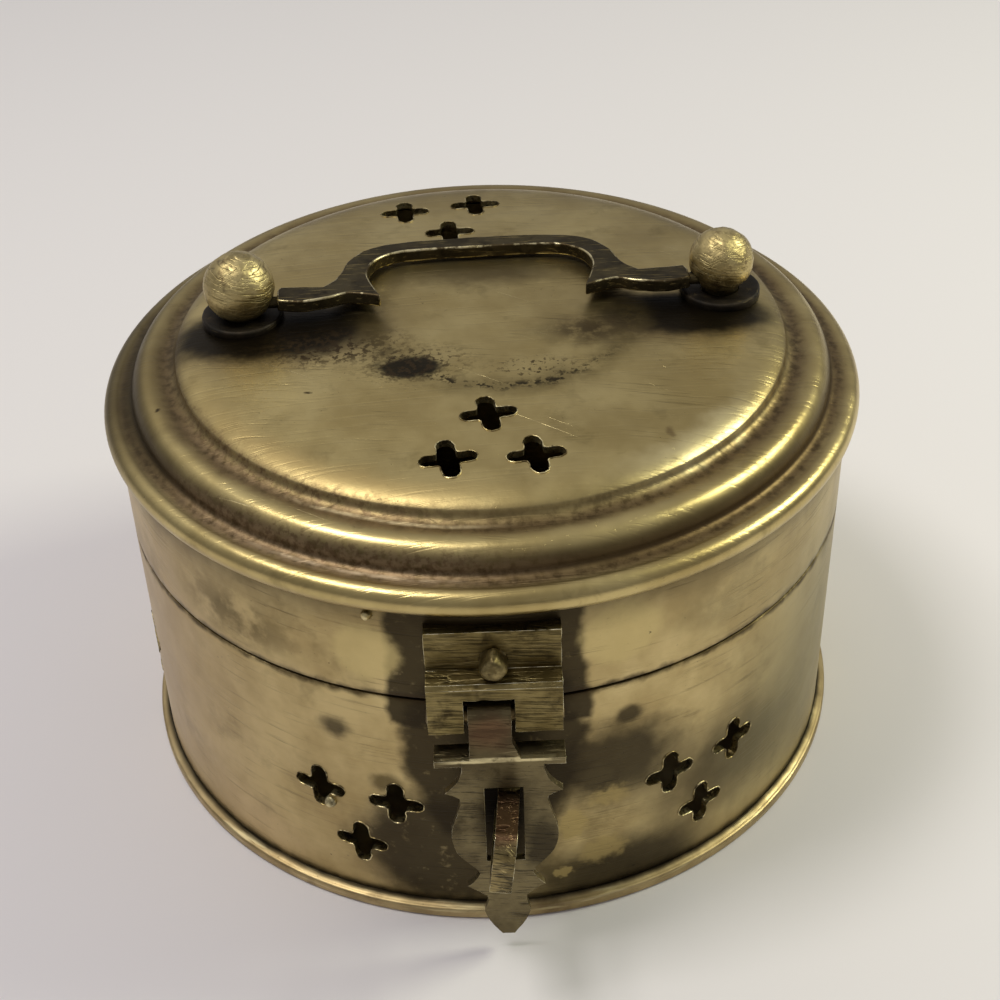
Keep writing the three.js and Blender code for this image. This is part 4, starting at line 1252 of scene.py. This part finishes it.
strap = sidewaysPiece(
    "strap",
    [
        (front, shoulder - thick),
        (front, shoulder),
        (barrelFront, pinZ - hasp["strapFront"]),
        (barrelFront, pinZ),
        (pinY, pinZ),
        (barrelFront + thick, pinZ - hasp["strapRear"]),
        (front + thick, shoulder - thick * 0.6),
        (front + thick, shoulder - thick),
    ],
    tabLeft,
    tabRight + flare,
)
beside = outlinePiece(
    "beside",
    [
        (tabRight, shoulder + hasp["flareRise"]),
        (tabRight + flare, shoulder),
        (tabRight + 2 * flare, shoulder),
        (tabRight + 2 * flare, pinZ + barrelRadius),
        (tabRight, pinZ + barrelRadius),
    ],
    hasp["cutDepth"],
)
stand(beside, moveTo(0, front + hasp["cutDepth"] - 1, 0) @ turnBy(90, "X"))
carve(strap, beside)
for extra in (ears, barrel, strap):
    carve(haspPlate, extra, "UNION")
slotCutter = blockPiece(
    "slotCutter",
    (middle - hasp["slotHalf"], front - 1, hasp["slotBottom"]),
    (middle + hasp["slotHalf"], front + thick + 1, hasp["slotTop"]),
)
carve(haspPlate, slotCutter)
carve(haspPlate, rodPiece("bore", box["pinRadius"] + box["pinPlay"], -20, 20, pinY, pinZ))
roundEdges(haspPlate, hasp["worn"], 2, 40, 1)
unevenness(haspPlate, *hasp["uneven"])
finishPiece(haspPlate, "hasp", "hasp", flats=True)

# staple, a bent strip through the wall
staple = {
    "width": 2.8,
    "bar": 1.6,
    "top": 29.4,
    "bottom": 18.6,
    "nose": -66.0,
    "round": 2.6,
    "sweep": 22.225,  # the slot's end swings past the nose on this radius
    "rear": -49.55,
    "peen": 0.8,
    "peenSpread": 0.5,
    "middle": 1.25,
    "twist": -4.5,
    "lean": 6,
    "cutsUp": [19.5 + i * 0.9 for i in range(11)],
    "cutsBack": range(-64, -51),
    "worn": 0.28,
    "uneven": (1.5, 0.2, 0.3),
}
stapleBrass = brass("stapleBrass", {
    "mid": (104, 92, 60), "light": (152, 136, 94), "tarnish": "brown",
    "rough": 0.32, "cloudSize": 3, "tarnishSize": 2.4, "tarnishAmount": 0.7, "ragged": 0.4, "pitAmount": 0.9,
    # painted shade and reflection: the staple's top leg reddish
    "zones": [patch((0.5, -61, 29.8), (5, 6.5, 2.2), "red", 0.85, soft=0.5, rough=0.36)],
    "marks": [
        strokes(0.26, (0.5, 0.64), (10, 4, 1), "black", 0.8, -0.9, turn=(0, 8, 0)),
        strokes(0.24, (0.56, 0.66), (12, 4, 1), "light", 0.6, -0.6, turn=(0, 40, 0), shift=0.03,
                patches=(1.6, 0.45, 0.6)),
    ],
})


def stapleOutline(inset, rear):
    sweep = staple["sweep"] - inset
    top, bottom = staple["top"] - inset, staple["bottom"] + inset
    nose, turn = staple["nose"] + inset, staple["round"] - inset
    noseAngle = 180 + math.degrees(math.acos((pinY - nose) / sweep))
    underAngle = 180 + math.degrees(math.asin((pinZ - bottom) / sweep))
    line = [(rear, top)] + arcLine(nose + turn, top - turn, turn, 90, 180, 12)
    line += arcLine(pinY, pinZ, sweep, noseAngle, underAngle, 10)
    return line + [(rear, bottom)]


half, rear, peen = staple["width"] / 2, staple["rear"], staple["peen"]
strip = sidewaysPiece("stapleStrip", stapleOutline(0, rear + peen), -half, half)
eye = sidewaysPiece("eye", stapleOutline(staple["bar"], rear + 2 * peen), -half - 1, half + 1)
coat(strip, stapleBrass, wornEdge)
coat(eye, stapleBrass)
carve(strip, eye)
spread, halfBar = staple["peenSpread"], staple["bar"] / 2
for z in (staple["top"] - halfBar, staple["bottom"] + halfBar):
    low = (-half - spread, rear, z - halfBar - spread)
    high = (half + spread, rear + peen, z + halfBar + spread)
    carve(strip, blockPiece("peen", low, high), "UNION")
stapleHeight = (staple["top"] + staple["bottom"]) / 2
subdivideAlong(strip, staple["cutsUp"], "z")
subdivideAlong(strip, staple["cutsBack"], "y")
roundEdges(strip, staple["worn"], 3, 40, 1)
unevenness(strip, *staple["uneven"])
lean = turnBy(staple["twist"], "Z") @ turnBy(staple["lean"], "Y")
wallFace = wallRadius
stand(strip, moveTo(staple["middle"], -wallFace, stapleHeight) @ lean @ moveTo(0, wallFace, -stapleHeight))
finishPiece(strip, "box", "staple", flats=True)
print("trinket box: clasp done")

# rivets and pins
rivets = {
    "head": 1.7,
    "height": 1.25,
    "leafHeight": 2.9,
    "leafStretch": 0.92,
    "shank": 0.9,
    "taper": 0.42,
    "peen": [(0, -0.8), (1.25, -0.8), (1.6, -0.4), (1.6, 0)],
    "crown": [(1, 0.5), (0.92, 0.82), (0.6, 0.97), (0, 1)],  # shares of the head's radius and height
    "steps": 48,
    "leafZ": 47.514,
    "hingeRise": 7.05,
    "uneven": (1.1, 0.3),
    "haspPinHalf": 8.4,
    "hingePinHalf": 8.2,
    "pinWorn": 0.25,
    "pinUneven": (1.0, 0.1),
}
rivetBrass = brass("rivetBrass", {
    "mid": (104, 92, 60), "light": (160, 144, 100), "tarnish": "brown",
    "rough": 0.36, "cloudSize": 1.4, "tarnishSize": 1.1, "tarnishAmount": 0.75, "ragged": 0.3,
    "swell": 0.8, "swellSize": 1.5,
})
darkPin = brass("darkPin", {
    "mid": (82, 68, 46), "light": (140, 122, 82), "tarnish": "black",
    "rough": 0.4, "roughTarnish": 0.55, "cloudSize": 2, "tarnishSize": 1.5, "ragged": 0.3,
})


def rivetPiece(name, node, body, side, z, face, height, stretch):
    inner, seat = wallInside - 0.2, face + 0.05
    wide, shank = rivets["head"], rivets["shank"]
    section = [(radius, inner + rise) for radius, rise in rivets["peen"]]
    section += [(shank, inner), (shank, seat), (wide, seat)]
    head = [(wide, seat)] + [(wide * share, face + height * rise) for share, rise in rivets["crown"]]
    rivet = turnedPiece(name, section + smoothLine(head, 14)[1:], rivets["steps"])
    unevenness(rivet, *rivets["uneven"])
    coat(rivet, rivetBrass)
    axes = turnBy(-90 if side > 0 else 90, "X")
    stand(rivet, Matrix.Diagonal((1, 1, stretch, 1)) @ axes)
    if side < 0:  # the clasp's rivet comes to a blunt point at its top
        for vertex in rivet.data.vertices:
            rise = max(0.0, vertex.co.z / (wide * mm))
            if vertex.co.y < -(face + 0.1) * mm:
                vertex.co.x *= 1 - rivets["taper"] * rise
                vertex.co.z *= 1 + rivets["taper"] * 0.5 * rise
    stand(rivet, moveTo(0, 0, z))
    finishPiece(rivet, body, node)


def pinPiece(name, node, body, y, z, half):
    pin = rodPiece(name, box["pinRadius"], -half, half, y, z)
    coat(pin, darkPin)
    roundEdges(pin, rivets["pinWorn"], 3, 60)
    unevenness(pin, *rivets["pinUneven"])
    finishPiece(pin, body, node)


hingeFace = wallRadius + leaf["thickness"]
leafHeight, leafStretch, rise = (rivets[key] for key in ("leafHeight", "leafStretch", "hingeRise"))
rivetPiece("leafRivet", "hasp_leaf_rivet", "lid", -1, rivets["leafZ"], -leafFace, leafHeight, leafStretch)
rivetPiece("lowerRivet", "hinge_lower_rivet", "box", 1, seam - rise, hingeFace, rivets["height"], 1)
rivetPiece("upperRivet", "hinge_upper_rivet", "lid", 1, seam + rise, hingeFace, rivets["height"], 1)
pinPiece("haspPin", "hasp_pin", "lid", pinY, pinZ, rivets["haspPinHalf"])
pinPiece("hingePin", "hinge_pin", "box", hingeY, seam, rivets["hingePinHalf"])

# rear hinge
hinge = {
    "half": 8.0,
    "plate": 9.5,
    "gap": 0.3,
    "middle": 2.6,
    "back": 49.5,
    "neckStart": 0.6,
    "neckOverlap": 1,
    "cutsAcross": range(-7, 8),
    "worn": 0.2,
    "uneven": (1.8, 0.16, 0.35),
}


def hingeLeaf(name, node, body, side, knuckles):
    near = barrelRadius + hinge["gap"]
    far = near + hinge["plate"]
    zs = sorted((seam + side * near, seam + side * far))
    plate = blockPiece(name, (-hinge["half"], hinge["back"], zs[0]), (hinge["half"], hingeFace, zs[1]))
    coat(plate, leafBrass, wornEdge)
    carve(plate, wallCore())
    for left, right in knuckles:
        knuckle = rodPiece("knuckle", barrelRadius, left, right, hingeY, seam, 64)
        rise = sorted((seam + side * hinge["neckStart"], seam + side * (near + hinge["neckOverlap"])))
        low = (left, hingeY - barrelRadius, rise[0])
        carve(plate, knuckle, "UNION")
        carve(plate, blockPiece("neck", low, (right, hingeFace, rise[1])), "UNION")
    bore = box["pinRadius"] + box["pinFit" if side < 0 else "pinPlay"]
    carve(plate, rodPiece("bore", bore, -20, 20, hingeY, seam))
    subdivideAlong(plate, hinge["cutsAcross"], "x")
    roundEdges(plate, hinge["worn"], 2, 40, 1)
    unevenness(plate, *hinge["uneven"])
    finishPiece(plate, body, node, flats=True)


inner, outer, end = hinge["middle"], hinge["middle"] + hinge["gap"], hinge["half"]
hingeLeaf("lowerHingeLeaf", "hinge_lower_leaf", "box", -1, [(-inner, inner)])
hingeLeaf("upperHingeLeaf", "hinge_upper_leaf", "lid", 1, [(-end, -outer), (outer, end)])
print("trinket box: rear hinge done")

# studio
studio = {
    "floor": 9.0,
    "horizon": 0.2,
    "ceiling": 0.13,
    "window": 0.3,  # a paler part of the room, behind and to the left
    "behind": 0.1,
    "aim": (0, 0, 0.04),
    "tint": (1.0, 0.975, 1.0, 1),
    "table": {"Base Color": (0.8, 0.77, 0.78, 1), "Roughness": 0.6},
    "top": {"at": (-0.255, -0.03, 0.7), "light": {"size": 0.22, "energy": 2.0, "color": (1.0, 0.97, 0.93)}},
    "right": {"at": (0.5, 0.1, 0.46), "light": {"size": 0.2, "energy": 2.0, "color": (0.97, 1.0, 0.76)}},
}
bpy.ops.mesh.primitive_plane_add(size=studio["floor"], location=(0, 0, 0))
table = nameNew("table")
tableFinish = bpy.data.materials.new("tableFinish")
tableFinish.use_nodes = True
for key, value in studio["table"].items():
    feed(tableFinish.node_tree.nodes["Principled BSDF"].inputs[key], value)
coat(table, tableFinish)

world = bpy.data.worlds.new("studioWorld")
bpy.context.scene.world = world
world.use_nodes = True
background = world.node_tree.nodes["Background"].inputs
sideways, behind, upwards = split(addNode(background["Color"], "TexCoord").outputs["Generated"])
ceiling = times(ease(upwards, 0, 0.6), studio["ceiling"])
rear = times(ease(behind, -0.2, 0.8), ease(upwards, 0.1, 0.5))
window = times(times(ease(sideways, 0.05, -0.5), rear), studio["window"])
rear = times(rear, studio["behind"])
glow = calculate("ADD", ceiling, rear)
glow = calculate("ADD", glow, calculate("ADD", window, studio["horizon"]))
feed(background["Color"], studio["tint"])
feed(background["Strength"], glow)


def softLight(name, look):
    bpy.ops.object.light_add(type="AREA", location=look["at"])
    light = bpy.context.active_object
    light.name = name
    give(light.data, look["light"])
    aim = Vector(studio["aim"]) - Vector(look["at"])
    light.rotation_euler = aim.to_track_quat("-Z", "Y").to_euler()


softLight("topLight", studio["top"])
softLight("rightLight", studio["right"])

# camera, at the photograph's viewing angle
view = {
    "at": (0, -0.2028, 0.1842),
    "pitch": 36.95,
    "pan": 1.06,
    "roll": -1.58,
    "lens": {"lens": 61.2, "sensor_width": 36, "shift_x": -0.012, "clip_start": 0.01},
}
aimed = turnBy(-view["pan"], "Z") @ turnBy(90 - view["pitch"], "X") @ turnBy(view["roll"], "Z")
bpy.ops.object.camera_add()
camera = bpy.context.active_object
camera.matrix_world = Matrix.Translation(view["at"]) @ aimed
give(camera.data, view["lens"])
bpy.context.scene.camera = camera
bpy.context.scene.view_settings.view_transform = "Standard"
print("trinket box: studio ready")
